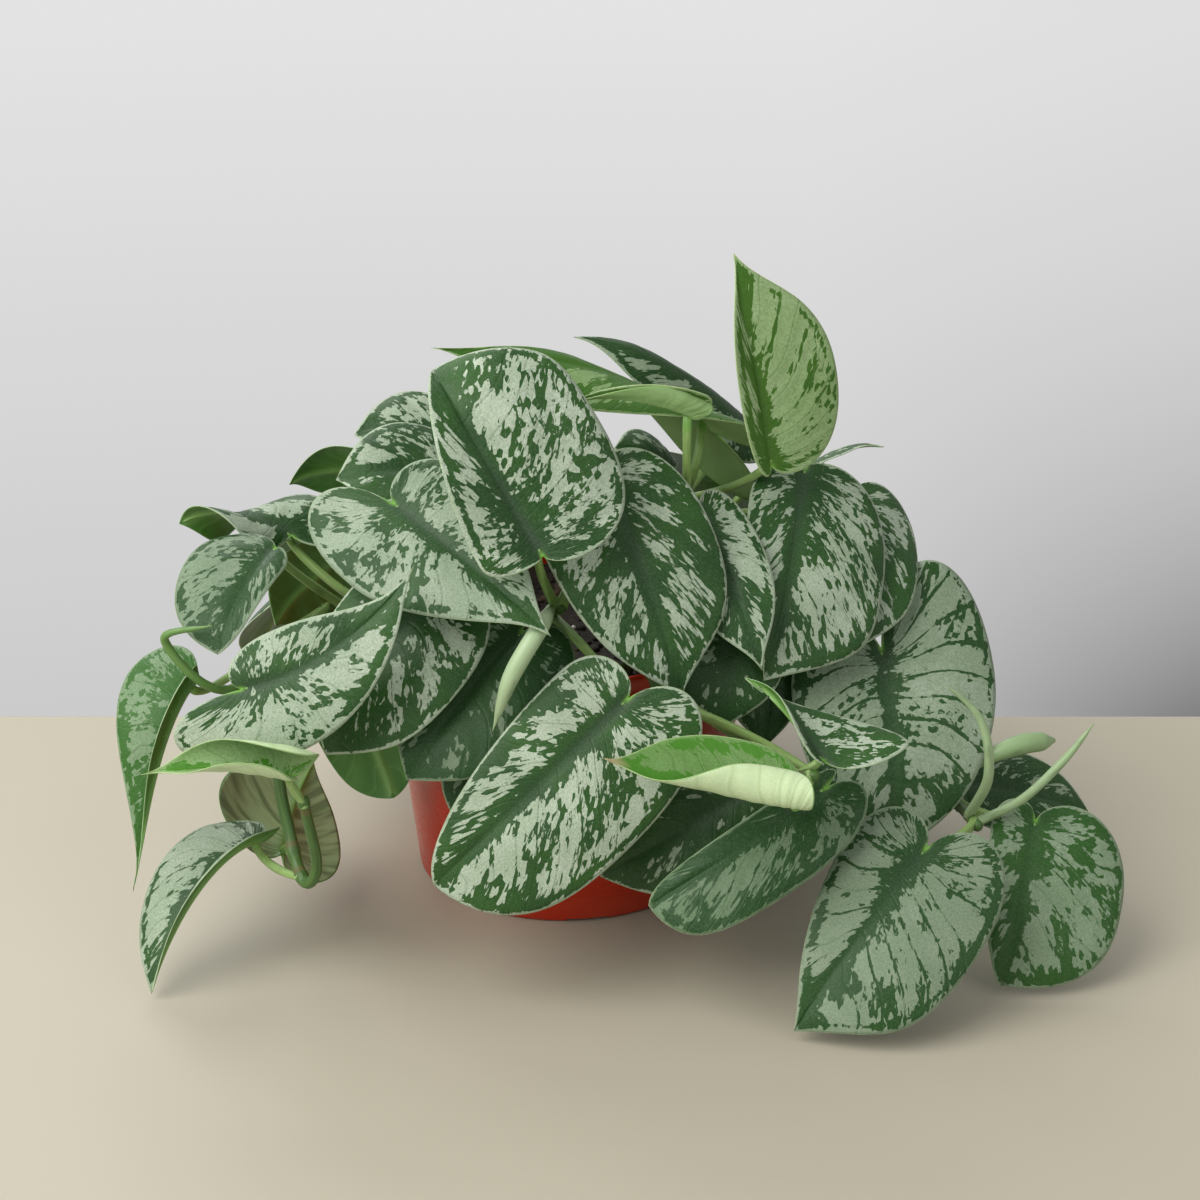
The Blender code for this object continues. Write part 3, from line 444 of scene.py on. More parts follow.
class Blade:                # carries points of the flat leaf onto its bent surface
    def __init__(self, leaf):
        self.leaf = leaf
        base, tip = vec(leaf["base"]), vec(leaf["tip"])
        self.length = np.linalg.norm(tip - base)
        self.chord = (tip - base) / self.length
        facing = vec(leaf["facing"])
        self.up = unit(facing - self.chord * (facing @ self.chord))
        self.side = np.cross(self.chord, self.up)
        rise, droop, sway = (math.radians(leaf[key]) for key in ("rise", "droop", "sway"))
        start = self.chord * math.cos(rise) + self.up * math.sin(rise) + self.side * math.sin(sway)
        end = self.chord * math.cos(droop) - self.up * math.sin(droop) - self.side * math.sin(sway)
        third = self.length / 3
        self.controls = (base, base + unit(start) * third, tip - unit(end) * third, tip)

    def halves(self, key, t):
        return np.where(t > 0, self.leaf[key][1], self.leaf[key][0])

    def outline(self, s, t):        # how far out, as a share of the half width, and how far along
        lobe, belly, full = (self.halves(key, t) for key in ("lobe", "belly", "full"))
        low, high = np.clip(2 * s, 0, 1), np.clip(2 * s - 1, 0, 1)
        drip, (pullOne, pullTwo) = self.leaf["drip"], blade["lobePull"]
        tipEnd = blade["fullTo"] - blade["dripPull"] * drip
        across = np.where(s <= 0.5, cubic(0, blade["sinus"], 1.0, 1.0, low), cubic(1.0, 1.0, full, 0, high))
        along = np.where(s <= 0.5, cubic(0, pullOne * lobe, pullTwo * lobe, belly, low),
                         cubic(belly, belly + blade["fullFrom"], tipEnd, 1.0, high))
        nearTip = np.maximum(0, (along - blade["dripStart"]) / (1 - blade["dripStart"]))
        return across * np.where(s > 0.5, 1 - drip * nearTip**2, 1), along

    def frame(self, along):
        place, speed = bezier(self.controls, np.maximum(along, 0))
        place = place + speed * np.minimum(along, 0)[..., None]
        forward = unit(speed)
        turn = (math.radians(self.leaf["twist"]) * (along - 0.5))[..., None]
        hint = self.up * np.cos(turn) + self.side * np.sin(turn)
        right = unit(np.cross(forward, hint))
        return place, forward, right, np.cross(right, forward)

    def at(self, s, t):     # rows s from base to tip, t from the left margin (-1) to the right one (1)
        across, along = self.outline(s, t)
        share, station = abs(t), s**3
        there = station + (along - station) * share**blade["veinFan"]
        place, _, right, up = self.frame(there)
        width = self.halves("wide", t)
        fold = np.radians(self.halves("fold", t))
        curl = np.radians(self.halves("curl", t) + 1e-4)
        turned = fold + curl * across * share
        out = (np.sin(turned) - np.sin(fold)) / curl * width
        lift = (np.cos(fold) - np.cos(turned)) / curl * width
        ripple = np.sin(2 * np.pi * blade["waves"] * s + (t > 0)) * np.sin(np.pi * s)
        lift = lift + blade["wave"] * share**2 * ripple
        points = place + right * (out * np.sign(t))[..., None] + up * lift[..., None]
        return points, across * share * np.sign(t) * width, there * self.length

    def inside(self, x, y):     # distance of flat points from the margin
        s = np.linspace(0, 1, blade["marginSteps"])
        margin = []
        for half in (-1.0, 1.0):
            across, along = self.outline(s, np.full_like(s, half))
            margin.append(np.stack([half * across * self.halves("wide", half), along * self.length], -1))
        margin = np.concatenate(margin)
        away = np.hypot(x[..., None] - margin[:, 0], y[..., None] - margin[:, 1])
        return away.min(axis=-1)


def veinPhase(s, t, length, seed):      # whole numbers lie on the side veins
    veins = max(blade["fewestVeins"], round(length * blade["veinReach"] / blade["veinEvery"]))
    bow = blade["veinBow"] * np.sin(7 * t + seed)
    return s * veins + bow + blade["veinStray"] * np.sin(23 * s + 3 * seed + 2 * t)


def bladeRelief(s, t, x, y, phase, seed):      # quilting between the side veins, and slow unevenness
    away = phase - np.round(phase)
    share = abs(t)
    inner = np.clip((share - blade["swellFrom"]) / blade["swellFull"], 0, 1)
    body = inner * np.clip((1 - share) / blade["swellEnd"], 0, 1) * np.sin(np.pi * s) ** 0.5
    swell = blade["swell"] * np.cos(np.pi * away) ** 2
    vein = blade["veinSink"] * smoothPulse(abs(away) * blade["veinEvery"], blade["veinWide"])
    slow = np.sin(x / 9 + seed) * np.sin(y / 13 + 2 * seed) + 0.5 * np.sin(x / 5 - y / 6 + 3 * seed)
    midrib = blade["midribSink"] * smoothPulse(x, blade["midribWide"]) * np.clip(1.15 - s, 0, 1)
    return body * (swell - vein) + blade["uneven"] * slow * share * (1 - share) * 2 - midrib


def ribUnder(s, x):         # the midrib stands out below, thick at the petiole and thin at the tip
    return blade["ribStand"] * smoothPulse(x, blade["midribWide"]) * np.clip(1.05 - s, 0, 1)


def gridNormals(points, up):
    normals = np.cross(np.gradient(points, axis=1), np.gradient(points, axis=0))
    size = np.linalg.norm(normals, axis=-1, keepdims=True)
    normals = np.where(size > 1e-6, normals / np.maximum(size, 1e-9), up)
    return normals * np.sign((normals @ up).sum() or 1.0)


def bladeFaces(rows, columns):      # the upper side, the lower side and the margin between them
    grid = np.arange(rows * columns).reshape(rows, columns)
    count = grid.size
    corners = grid[:-1, :-1], grid[:-1, 1:], grid[1:, 1:], grid[1:, :-1]
    over = np.stack([corner.ravel() for corner in corners], -1)
    below = over[:, ::-1] + count
    baseTop, tipTop, baseUnder, tipUnder = range(2 * count, 2 * count + 4)
    first, last = (list(zip(edge[:-1], edge[1:])) for edge in (grid[0], grid[-1]))
    faces = over.tolist() + [[baseTop, k, j] for j, k in first] + [[tipTop, j, k] for j, k in last]
    faces += below.tolist() + [[baseUnder, j + count, k + count] for j, k in first]
    faces += [[tipUnder, k + count, j + count] for j, k in last]
    ring = [baseTop, *grid[:, -1], tipTop, *grid[::-1, 0]]
    low = [baseUnder, *(grid[:, -1] + count), tipUnder, *(grid[::-1, 0] + count)]
    slots = np.repeat([0, 1, 0], [len(faces) // 2, len(faces) // 2, len(ring)])
    faces += [list(face) for face in zip(ring, low, np.roll(low, -1), np.roll(ring, -1))]
    return faces, slots


def bladeMesh(name, leaf, seed):
    shape = Blade(leaf)
    s = np.linspace(0, 1, blade["rows"] + 1)[1:-1]
    half = np.linspace(0, 1, blade["columns"] + 1)[1:] ** blade["crowd"]
    s, t = np.meshgrid(s, np.concatenate([-half[::-1], [0.0], half]), indexing="ij")
    middle, x, y = shape.at(s, t)
    phase = veinPhase(s, t, shape.length, seed)
    normals = gridNormals(middle, shape.up)
    relief = bladeRelief(s, t, x, y, phase, seed)
    body = np.clip((1 - abs(t)) / blade["bevel"], 0, 1) ** 0.5
    thin = blade["edge"] + (blade["thick"] - blade["edge"]) * body
    top = middle + normals * (relief + thin / 2)[..., None]
    under = middle + normals * (relief - thin / 2 - ribUnder(s, x))[..., None]
    ends, _, _, endUp = shape.frame(np.array([0.0, 1.0]))
    lift = endUp * blade["edge"] / 2
    points = np.concatenate([top.reshape(-1, 3), under.reshape(-1, 3), ends + lift, ends - lift])
    faces, slots = bladeFaces(*t.shape)
    made = meshObject(name + "_blade", points, faces)
    made.data.polygons.foreach_set("material_index", slots)
    reach = shape.length * blade["veinReach"]
    baseAndTip = [(0, 0, seed), (reach, 0, seed)]
    for key, parts, ends in (("veinPlace", (s * reach, x, seed * 7.3), baseAndTip),
                             ("flatPlace", (x, y, seed * 5.1), baseAndTip),
                             ("edgePlace", (abs(t), s, shape.inside(x, y)), [(0, 0, 9), (1, 1, 0)])):
        side = np.stack(np.broadcast_arrays(*parts), -1).reshape(-1, 3)
        setAttribute(made, key, np.concatenate([side, side, ends, ends]))
    for key, names in (("leafLook", ("silver", "streak", "dim")), ("leafAge", ("dried", "fresh", "pale"))):
        setAttribute(made, key, np.tile([leaf[word] for word in names], (len(points), 1)))
    setAttribute(made, "veinPhase", np.concatenate([phase.ravel(), phase.ravel(), np.zeros(4)]))
    return made


# heart: a greyer, bluer green painted along the midrib towards the base as painted sheen
leafTones = {
    "leaf": dict(dark=(0.027, 0.089, 0.015), deep=(0.014, 0.054, 0.011), heart=(0.036, 0.072, 0.034),
                 silver=(0.53, 0.61, 0.48), silverCool=(0.41, 0.50, 0.365), rim=(0.36, 0.47, 0.27)),
    "young_leaf": dict(dark=(0.055, 0.15, 0.014), deep=(0.036, 0.115, 0.010), heart=(0.060, 0.15, 0.02),
                       silver=(0.37, 0.50, 0.26), silverCool=(0.29, 0.42, 0.185), rim=(0.42, 0.55, 0.26)),
}
freshTone, driedTone, rootTone = (0.085, 0.30, 0.025), (0.44, 0.37, 0.20), (0.20, 0.44, 0.07)
# Sizes in mm along and across the side veins: patch the silver patches, cell the small cells that they are
# made of, tick the finest marks
mottle = dict(patch=(9.0, 14), blur=0.5, cell=(1.4, 2.2), jitter=0.12, tick=(0.7, 1.6), tickDepth=0.18,
              spread=0.62, sharp=0.01, heartWide=6.5, heartTip=2.2, heartDepth=0.32, fleckAt=2.8,
              fleckWide=1.4, fleckDepth=0.16, rimWide=1.1, rimDepth=0.26, lineWide=0.06, lineDepth=0.32,
              edgeWide=0.35, grain=2.6, pebble=1.25, cloud=0.05, driedFrom=0.945, driedFull=0.98)


def readBlade(skin):        # what each blade's points carry, as wires by name
    wires = {"vein": skin.attribute("veinPlace"), "flat": skin.attribute("flatPlace")}
    wires["x"] = skin.parts(wires["flat"])[0]
    for name, words in (("edgePlace", ("share", "s", "inside")), ("leafLook", ("silver", "streak", "dim")),
                        ("leafAge", ("dried", "fresh", "pale"))):
        wires.update(zip(words, skin.parts(skin.attribute(name))))
    wires["away"] = skin.maths("PINGPONG", skin.attribute("veinPhase", "Fac"), 0.5)
    wires["dry"] = wires["dried"] * skin.ramp(wires["s"], mottle["driedFrom"], mottle["driedFull"])
    return wires


def leafTop(name, tones):
    skin = Finish(name, Specular_IOR_Level=0.22)
    wires = readBlade(skin)
    vein, flat, x, s, inside, away = (wires[key] for key in ("vein", "flat", "x", "s", "inside", "away"))
    dim, fresh = wires["dim"], wires["fresh"]
    # each small cell takes its tone from the place of its middle, so the patches have torn edges
    cell, tick, patch = (mottle[key] for key in ("cell", "tick", "patch"))
    small = skin.stretch(vein, (1 / cell[0], 1 / cell[1], 1))
    middle, cellTone = skin.node("ShaderNodeTexVoronoi", {}, {"Vector": small, "Scale": 1.0},
                                 output=("Position", "Color"))
    chance, _, _ = skin.parts(cellTone)
    patches = skin.noise(middle, (cell[0] / patch[0], cell[1] / patch[1], 1), detail=1.5,
                         roughness=mottle["blur"])
    ticks = skin.noise(vein, (1 / tick[0], 1 / tick[1], 1), (7, 5, 3), detail=3.0)
    field = patches + (chance - 0.5) * mottle["jitter"] + (ticks - 0.5) * mottle["tickDepth"]
    heart = skin.bell(x, skin.ramp(s, 0.1, 1.0, mottle["heartWide"], mottle["heartTip"]))
    fleck = skin.bell(inside - mottle["fleckAt"], mottle["fleckWide"])
    rim = skin.ramp(inside, mottle["rimWide"], mottle["rimWide"] * 0.5)
    line = skin.bell(away, mottle["lineWide"]) * wires["streak"] * skin.ramp(wires["share"], 0.05, 0.3)
    level = (wires["silver"] - 0.5) * mottle["spread"] + 0.5 - heart * mottle["heartDepth"]
    level = level - fleck * mottle["fleckDepth"] + rim * mottle["rimDepth"] - line * mottle["lineDepth"]
    mask = skin.ramp(field + level, 1 - mottle["sharp"], 1 + mottle["sharp"])
    slow = skin.noise(flat, (mottle["cloud"], mottle["cloud"], 1), (2, 2, 2), detail=2.0)
    grain = skin.noise(flat, (mottle["grain"], mottle["grain"], 1), detail=2.0, roughness=0.75)
    pebble = skin.noise(flat, (mottle["pebble"], mottle["pebble"], 1), (4, 9, 1), detail=2.5, roughness=0.8)
    dark = skin.coat(tones["deep"],
                     (tones["dark"], skin.ramp(slow, 0.3, 0.65)),
                     # painted sheen: the greyer, bluer heart tone along the midrib
                     (tones["heart"], skin.bell(x, 2.6) * skin.ramp(s, 1.0, 0.5)),
                     (freshTone, fresh * 0.9),
                     # painted shade: leaves that lie in shade get a darker green
                     (tones["deep"], dim * 0.9),
                     (tones["silverCool"], skin.ramp(pebble, 0.45, 0.7, 0.0, 0.08)))
    silver = skin.coat(tones["silverCool"],
                       (tones["silver"], skin.ramp(slow, 0.35, 0.65)),
                       # painted shade: leaves that lie in shade get a duller, darker silver
                       (tones["dark"], dim * 0.78),
                       (freshTone, fresh * 0.35),
                       (tones["deep"], skin.ramp(grain, 0.32, 0.6, 0.28, 0.0)),
                       (tones["dark"], skin.ramp(pebble, 0.34, 0.6, 0.36, 0.0)),
                       (tones["dark"], skin.bell(away, 0.035) * 0.3))
    colour = skin.coat(dark,
                       (silver, mask),
                       (tones["rim"], skin.ramp(inside, mottle["edgeWide"], 0.1)),
                       (rootTone, skin.bell(x, 1.0) * skin.ramp(s, 0.34, 0.18)),
                       (driedTone, wires["dry"]))
    rough = skin.ramp(mask, 0.0, 1.0, 0.38, 0.50) + (grain - 0.5) * 0.15
    bump = grain * 0.5 + pebble * 0.9 + mask * 0.2 - skin.bell(away, 0.05) * 0.7
    return skin.wear(colour, rough, bump, depth=0.5, reach=0.0003)


underTones = {
    "leaf": dict(flesh=(0.050, 0.175, 0.018), pale=(0.095, 0.255, 0.045), rib=(0.20, 0.38, 0.10)),
    "young_leaf": dict(flesh=(0.150, 0.32, 0.065), pale=(0.21, 0.39, 0.105), rib=(0.29, 0.48, 0.17)),
}
palest, shadedTone = (0.66, 0.81, 0.48), (0.068, 0.118, 0.052)


def leafUnder(name, tones):
    skin = Finish(name)
    wires = readBlade(skin)
    flat, away = wires["flat"], wires["away"]
    slow = skin.noise(flat, (0.06, 0.06, 1), detail=2.0)
    cells = skin.noise(flat, (2.2, 2.2, 1), detail=2.0, roughness=0.6)
    bands = skin.noise(wires["vein"], (0.32, 0.045, 1), detail=2.0)
    shaded = skin.ramp(bands, 0.45, 0.62) * skin.ramp(wires["streak"], 0.3, 1.0)
    colour = skin.coat(tones["flesh"],
                       (tones["pale"], skin.ramp(slow, 0.3, 0.7)),
                       (palest, wires["pale"] * 0.9),
                       (shadedTone, shaded * 0.65),
                       (tones["rib"], skin.bell(away, 0.06) * 0.28),
                       (tones["rib"], skin.bell(wires["x"], 2.0)),
                       (tones["pale"], skin.ramp(wires["inside"], 0.6, 0.2)),
                       ((0.0, 0.0, 0.0), skin.ramp(cells, 0.35, 0.7, 0.14, 0.0)),
                       (driedTone, wires["dry"]))
    bump = cells * 0.5 + skin.bell(away, 0.08)
    return skin.wear(colour, skin.ramp(cells, 0.2, 0.8, 0.34, 0.46), bump, depth=0.3, reach=0.0002)


def growLeaves():
    skins = {kind: (leafTop(kind + "Top", leafTones[kind]), leafUnder(kind + "Under", underTones[kind]))
             for kind in leafTones}
    for number, (name, leaf) in enumerate(leaves.items()):
        made = bladeMesh(name, leaf, number * 1.7 + 0.4)
        for material in skins[leaf["finish"]]:
            made.data.materials.append(material)
        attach(made, "root")
        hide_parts(name)
    print("blades grown:", len(leaves))


growLeaves()


# Vines, each from the foot of its hole in the soil to its tip, and the shoots that start inside them

vines = {
    "stem_crown": [(22, 5, 76), (26, 4, 108), (34, 2, 134), (44, 0, 150)],
    "stem_left_high": [(-14, 8, 76), (-20, 6, 110), (-34, -2, 134), (-48, -12, 146)],
    "stem_left_low": [(-34, -8, 76), (-44, -14, 110), (-66, -30, 122), (-88, -42, 122)],
    "stem_left_trail": [(-36, -32, 76), (-48, -44, 112), (-76, -62, 116), (-101, -80, 84), (-98, -92, 54),
                        (-92, -104, 42), (-87, -110, 53), (-90, -120, 83)],
    "stem_front": [(-6, -34, 76), (-6, -42, 108), (-4, -54, 126), (0, -62, 132)],
    "stem_front_right": [(20, -34, 76), (26, -54, 111), (32, -74, 111), (46, -94, 96), (72, -115, 91),
                         (89, -126, 95)],
    "stem_right": [(40, -4, 76), (52, -8, 110), (76, -12, 128), (96, -14, 124)],
    "stem_right_trail": [(44, -22, 76), (58, -28, 110), (82, -28, 115), (112, -26, 86), (140, -46, 56),
                         (152, -82, 53)],
    "stem_back_left": [(-16, 30, 76), (-24, 42, 110), (-40, 60, 122), (-56, 76, 112)],
    "stem_back_right": [(22, 32, 76), (32, 44, 110), (46, 62, 122), (60, 78, 112)],
}

# rolled: how far the edge of a leaf that hasn't opened stands over itself. pale: how grey its green is
shoots = [
    dict(stem="stem_front", line=[(-4, -60, 130), (-7, -96, 138), (-17, -105, 123), (-24, -102, 101)],
         radii=(1.8, 3.4, 3.2, 0.5), rolled=0.18, pale=0.9),
    dict(stem="stem_left_low", line=[(-86, -42, 122), (-119, -82, 108), (-140, -88, 130), (-122, -94, 138)],
         radii=(1.8, 1.7, 1.6, 0.7), rolled=0.05, pale=0.0),
    dict(stem="stem_right_trail", line=[(149, -74, 53), (153, -94, 80), (149, -95, 102), (136, -95, 116)],
         radii=(1.8, 1.9, 1.5, 0.4), rolled=0.14, pale=0.7),
    dict(stem="stem_right_trail", line=[(151, -79, 53), (168, -76, 61), (183, -71, 74), (194, -68, 88)],
         radii=(1.8, 1.7, 1.6, 0.7), rolled=0.14, pale=0.6),
    dict(stem="stem_right_trail", line=[(141, -50, 55), (154, -58, 68), (169, -56, 74), (183, -50, 73)],
         radii=(1.8, 2.4, 4.0, 3.2), rolled=0.2, pale=0.5),
]

# seat: where on the blade the petiole ends, clear under it. cap: the rings that run on into the blade
stalk = dict(vineFoot=2.7, vineTip=1.9, vineSides=16, vineStep=2.2, vineRib=0.025, ribEvery=14,
             nodeSwell=0.5, nodeLong=2.6, ringBack=2.4, ringWide=0.9, ringSink=0.18, ringNotch=0.6,
             petioleFoot=2.2, petioleTop=1.5, petioleSides=14, petioleSteps=34, footSwell=0.5,
             footLong=0.06, seat=0.03, clear=0.95, lean=0.3, leave=0.5, bow=(0.33, 0.3),
             capAt=(0.45, 0.8), capSize=(0.85, 0.5), sheath=0.45, sheathFlat=0.3, wing=0.22, wingAt=0.45,
             wingWide=0.3, groove=0.28, grooveTop=0.35, jointAt=0.96, jointSwell=0.22, jointLong=0.05,
             jointRing=0.97, jointWide=0.04, shootSides=14, shootSteps=40, shootTip=0.12, shootBlur=3,
             shootTurn=0.6, hint=(0.3, 1.0, 0.2))


def sweep(line, hint, radius):      # rings round the line: radius has a row for each, a column for each side
    ahead = unit(np.gradient(line, axis=0))
    turned = vec(hint)
    angles = ringAngles(radius.shape[1])
    rings = []
    for i, place in enumerate(line):
        turned = unit(turned - ahead[i] * (turned @ ahead[i]))
        spoke = np.outer(np.cos(angles), turned) + np.outer(np.sin(angles), np.cross(ahead[i], turned))
        rings.append(place + spoke * radius[i][:, None])
    return np.array(rings)


class Bundle:                   # gathers the tubes of one vine into one mesh
    def __init__(self):
        self.points, self.faces, self.place, self.look = [], [], [], []
        self.count = 0

    def add(self, line, hint, radius, kind, ring, seed):
        rows, sides = radius.shape
        ends = np.array([line[0], line[-1]])
        ends[1] += unit(line[-1] - line[-2]) * radius[-1].mean() * 0.5
        angles, mean = ringAngles(sides), radius.mean(axis=1)[:, None]
        run = np.repeat(runAlong(line)[:, None] + seed * 37, sides, 1)
        place = np.stack([np.cos(angles) * mean, np.sin(angles) * mean, run], -1)
        look = np.stack(np.broadcast_arrays(kind, ring[:, None], np.zeros((rows, sides))), -1)
        self.faces += tubeFaces(rows, sides, self.count)
        self.points += [sweep(line, hint, radius).reshape(-1, 3), ends]
        self.place += [place.reshape(-1, 3), place[[0, -1], 0]]
        self.look += [look.reshape(-1, 3), look[[0, -1], 0]]
        self.count += rows * sides + 2

    def finish(self, name):
        made = meshObject(name, np.concatenate(self.points), self.faces)
        setAttribute(made, "stemPlace", np.concatenate(self.place))
        setAttribute(made, "stemLook", np.concatenate(self.look))
        return made


def addVine(bundle, line, leafPlaces, seed):
    t = np.linspace(0, 1, int(sum(steps(vec(line))) / stalk["vineStep"]) + 1)
    path, _ = smoothLine(line, t)
    run = runAlong(path)
    radius = stalk["vineFoot"] + (stalk["vineTip"] - stalk["vineFoot"]) * t
    ring = np.zeros_like(t)
    for at in leafPlaces:
        away = run - np.interp(at, t, run)
        behind = away + stalk["ringBack"]
        radius = radius + stalk["nodeSwell"] * smoothPulse(away, stalk["nodeLong"])
        radius = radius - stalk["ringSink"] * smoothPulse(behind, stalk["ringNotch"])
        ring = np.maximum(ring, smoothPulse(behind, stalk["ringWide"]))
    angles = ringAngles(stalk["vineSides"])
    ribs = 1 + stalk["vineRib"] * np.sin(3 * angles[None] + run[:, None] / stalk["ribEvery"] + seed)
    bundle.add(path, stalk["hint"], radius[:, None] * ribs, 0.0, ring, seed)


def addPetiole(bundle, leaf, line, seed):
    start, alongStem = (a[0] for a in smoothLine(line, leaf["at"]))
    seat, forward, _, up = (a[0] for a in Blade(leaf).frame(np.array([stalk["seat"]])))
    folded = math.tan(math.radians(max(0, -min(leaf["fold"]))))
    clear = stalk["clear"] + stalk["petioleTop"] * stalk["lean"] + stalk["petioleTop"] * folded
    end = seat - up * clear
    arrive = unit(up + forward * stalk["lean"])
    reach = np.linalg.norm(end - start)
    leave = unit(alongStem * stalk["leave"] + unit(end - start))
    bend = vec(leaf["bend"])
    footBow, topBow = stalk["bow"]
    controls = (start, start + leave * reach * footBow + bend, end - arrive * reach * topBow + bend, end)
    t = np.linspace(0, 1, stalk["petioleSteps"])
    path, _ = bezier(controls, t)
    path = np.concatenate([path, [end + arrive * clear * at for at in stalk["capAt"]]])
    t = np.append(t, [1.0, 1.0])
    size = stalk["petioleFoot"] + (stalk["petioleTop"] - stalk["petioleFoot"]) * np.sqrt(t)
    size = size + stalk["jointSwell"] * smoothPulse(t - stalk["jointAt"], stalk["jointLong"])
    size = size + stalk["footSwell"] * smoothPulse(t, stalk["footLong"])
    size[-2:] *= stalk["capSize"]
    low = np.clip(1 - t / stalk["sheath"], 0, 1)[:, None]       # 1 at the foot, 0 above the sheath
    facing = np.cos(ringAngles(stalk["petioleSides"]))[None]    # 1 towards the vine's tip, at the channel
    flat = 1 - stalk["sheathFlat"] * low * abs(facing)**2
    grooved = stalk["grooveTop"] + (1 - stalk["grooveTop"]) * low
    channel = 1 - stalk["groove"] * np.clip(facing, 0, 1)**4 * grooved
    wings = 1 + stalk["wing"] * low**0.5 * smoothPulse(facing - stalk["wingAt"], stalk["wingWide"])
    ring = smoothPulse(t - stalk["jointRing"], stalk["jointWide"])
    bundle.add(path, alongStem, size[:, None] * flat * channel * wings, 1.0, ring, seed)


def addShoot(bundle, shoot, seed):
    t = np.linspace(0, 1, stalk["shootSteps"])
    path, _ = smoothLine(shoot["line"], t)
    size = np.interp(t, np.linspace(0, 1, len(shoot["radii"])), shoot["radii"])
    blur = stalk["shootBlur"]
    window = 2 * blur + 1
    size = np.convolve(np.pad(size, blur, mode="edge"), np.ones(window) / window, mode="valid")
    size = size * np.clip((1 - t) / stalk["shootTip"], 0.12, 1) ** 0.6      # the tip is rounded off
    angles = ringAngles(stalk["shootSides"])
    turn = (angles[None] / (2 * np.pi) + t[:, None] * stalk["shootTurn"] + seed * 0.3) % 1
    rolled = 1 + shoot["rolled"] * (turn - 0.5) * np.clip(t[:, None] * 5, 0, 1)
    bundle.add(path, stalk["hint"], size[:, None] * rolled, 2.0 + shoot["pale"], np.zeros_like(t), seed)


stemTones = dict(vine=(0.075, 0.165, 0.030), vineDark=(0.035, 0.085, 0.018), petiole=(0.20, 0.34, 0.085),
                 petiolePale=(0.30, 0.44, 0.15), shoot=(0.11, 0.23, 0.05), shootPale=(0.40, 0.52, 0.31),
                 ring=(0.16, 0.11, 0.045), joint=(0.12, 0.34, 0.04))


def stemSkin(tones):
    skin = Finish("stemSkin")
    place = skin.attribute("stemPlace")
    kind, ring, _ = skin.parts(skin.attribute("stemLook"))
    streaks = skin.noise(place, (2.4, 2.4, 0.06), detail=2.0, roughness=0.6)
    blots = skin.noise(place, (0.35, 0.35, 0.12), detail=2.0)
    fine = skin.noise(place, (5.0, 5.0, 1.2), detail=1.0)
    isPetiole, isShoot = skin.ramp(kind, 0.4, 0.6), skin.ramp(kind, 1.4, 1.6)
    scar = ring * (1 - isPetiole)
    vine = skin.mix(tones["vineDark"], tones["vine"], skin.ramp(streaks, 0.3, 0.6))
    petiole = skin.mix(tones["petiole"], tones["petiolePale"], skin.ramp(streaks, 0.35, 0.65))
    shoot = skin.mix(tones["shoot"], tones["shootPale"], skin.ramp(kind, 2.0, 3.0))
    colour = skin.coat(vine,
                       (petiole, isPetiole),
                       (shoot, isShoot * skin.ramp(streaks, 0.2, 0.6, 0.8, 1.0)),
                       (tones["vineDark"], skin.ramp(blots, 0.55, 0.75, 0.0, 0.35)),
                       (tones["ring"], scar * 0.85),
                       (tones["joint"], ring * isPetiole * 0.7))
    rough = skin.ramp(fine, 0.25, 0.75, 0.34, 0.5) + scar * 0.25
    bump = streaks * 0.8 + fine * 0.3 - scar * 0.6
    return skin.wear(colour, rough, bump, depth=0.35, reach=0.0002)


def growVines():
    skin = stemSkin(stemTones)
    for number, (name, line) in enumerate(vines.items()):
        bundle = Bundle()
        own = [leaf for leaf in leaves.values() if leaf["stem"] == name]
        addVine(bundle, line, [leaf["at"] for leaf in own], number)
        for i, leaf in enumerate(own):
            addPetiole(bundle, leaf, line, number + i * 3)
        for i, shoot in enumerate(x for x in shoots if x["stem"] == name):
            addShoot(bundle, shoot, number + i)
        made = bundle.finish(name + "_vine")
        made.data.materials.append(skin)
        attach(made, "root")
        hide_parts(name)
    print("vines grown:", len(vines))


growVines()


# Pot: one turned wall with four drain channels under its floor

pot = dict(height=108, rim=76, base=57, wall=1.3, floor=3, stepLow=(62.7, 47), stepHigh=(66, 57),
           bandTop=(74, 101), lip=7, lipThick=2.5, sides=160, notches=4, notchTurn=-81, notchWidth=16,
           notchDeep=1.4, notchInner=30, notchPast=4, notchRound=0.6, drainAt=42, drain=4.5,
           drainFrom=-5, drainTo=10, drainSides=32, sharp=40,
           corners=(0, 2.0, 1.5, 1.5, 0.8, 0.8, 1.1, 0.9, 0.8, 1.5, 1.5, 1.5, 0))
potTones = dict(wall=(0.48, 0.030, 0.007), deep=(0.36, 0.020, 0.005), dust=(0.45, 0.10, 0.05))


def rounded(profile, radii, steps=5):       # a profile of (radius, height) with its corners rounded off
    out = []
    for i, (corner, size) in enumerate(zip(profile, radii)):
        if not size or i in (0, len(profile) - 1):
            out.append(corner)
            continue
        corner, before, after = vec(corner), vec(profile[i - 1]), vec(profile[i + 1])
        start = corner + unit(before - corner) * size
        end = corner + unit(after - corner) * size
        for k in range(steps + 1):
            t = k / steps
            out.append(tuple((1 - t)**2 * start + 2 * t * (1 - t) * corner + t * t * end))
    return out


def turned(name, profile, sides):       # the profile's first and last points lie on the axis
    profile = vec(profile)
    angles = ringAngles(sides)
    radius, height = profile[1:-1, :1], profile[1:-1, 1:]
    rings = np.stack([radius * np.cos(angles), radius * np.sin(angles), np.repeat(height, sides, 1)], -1)
    points = np.concatenate([rings.reshape(-1, 3), [(0, 0, profile[0, 1]), (0, 0, profile[-1, 1])]])
    return meshObject(name, points, tubeFaces(len(rings), sides, 0))


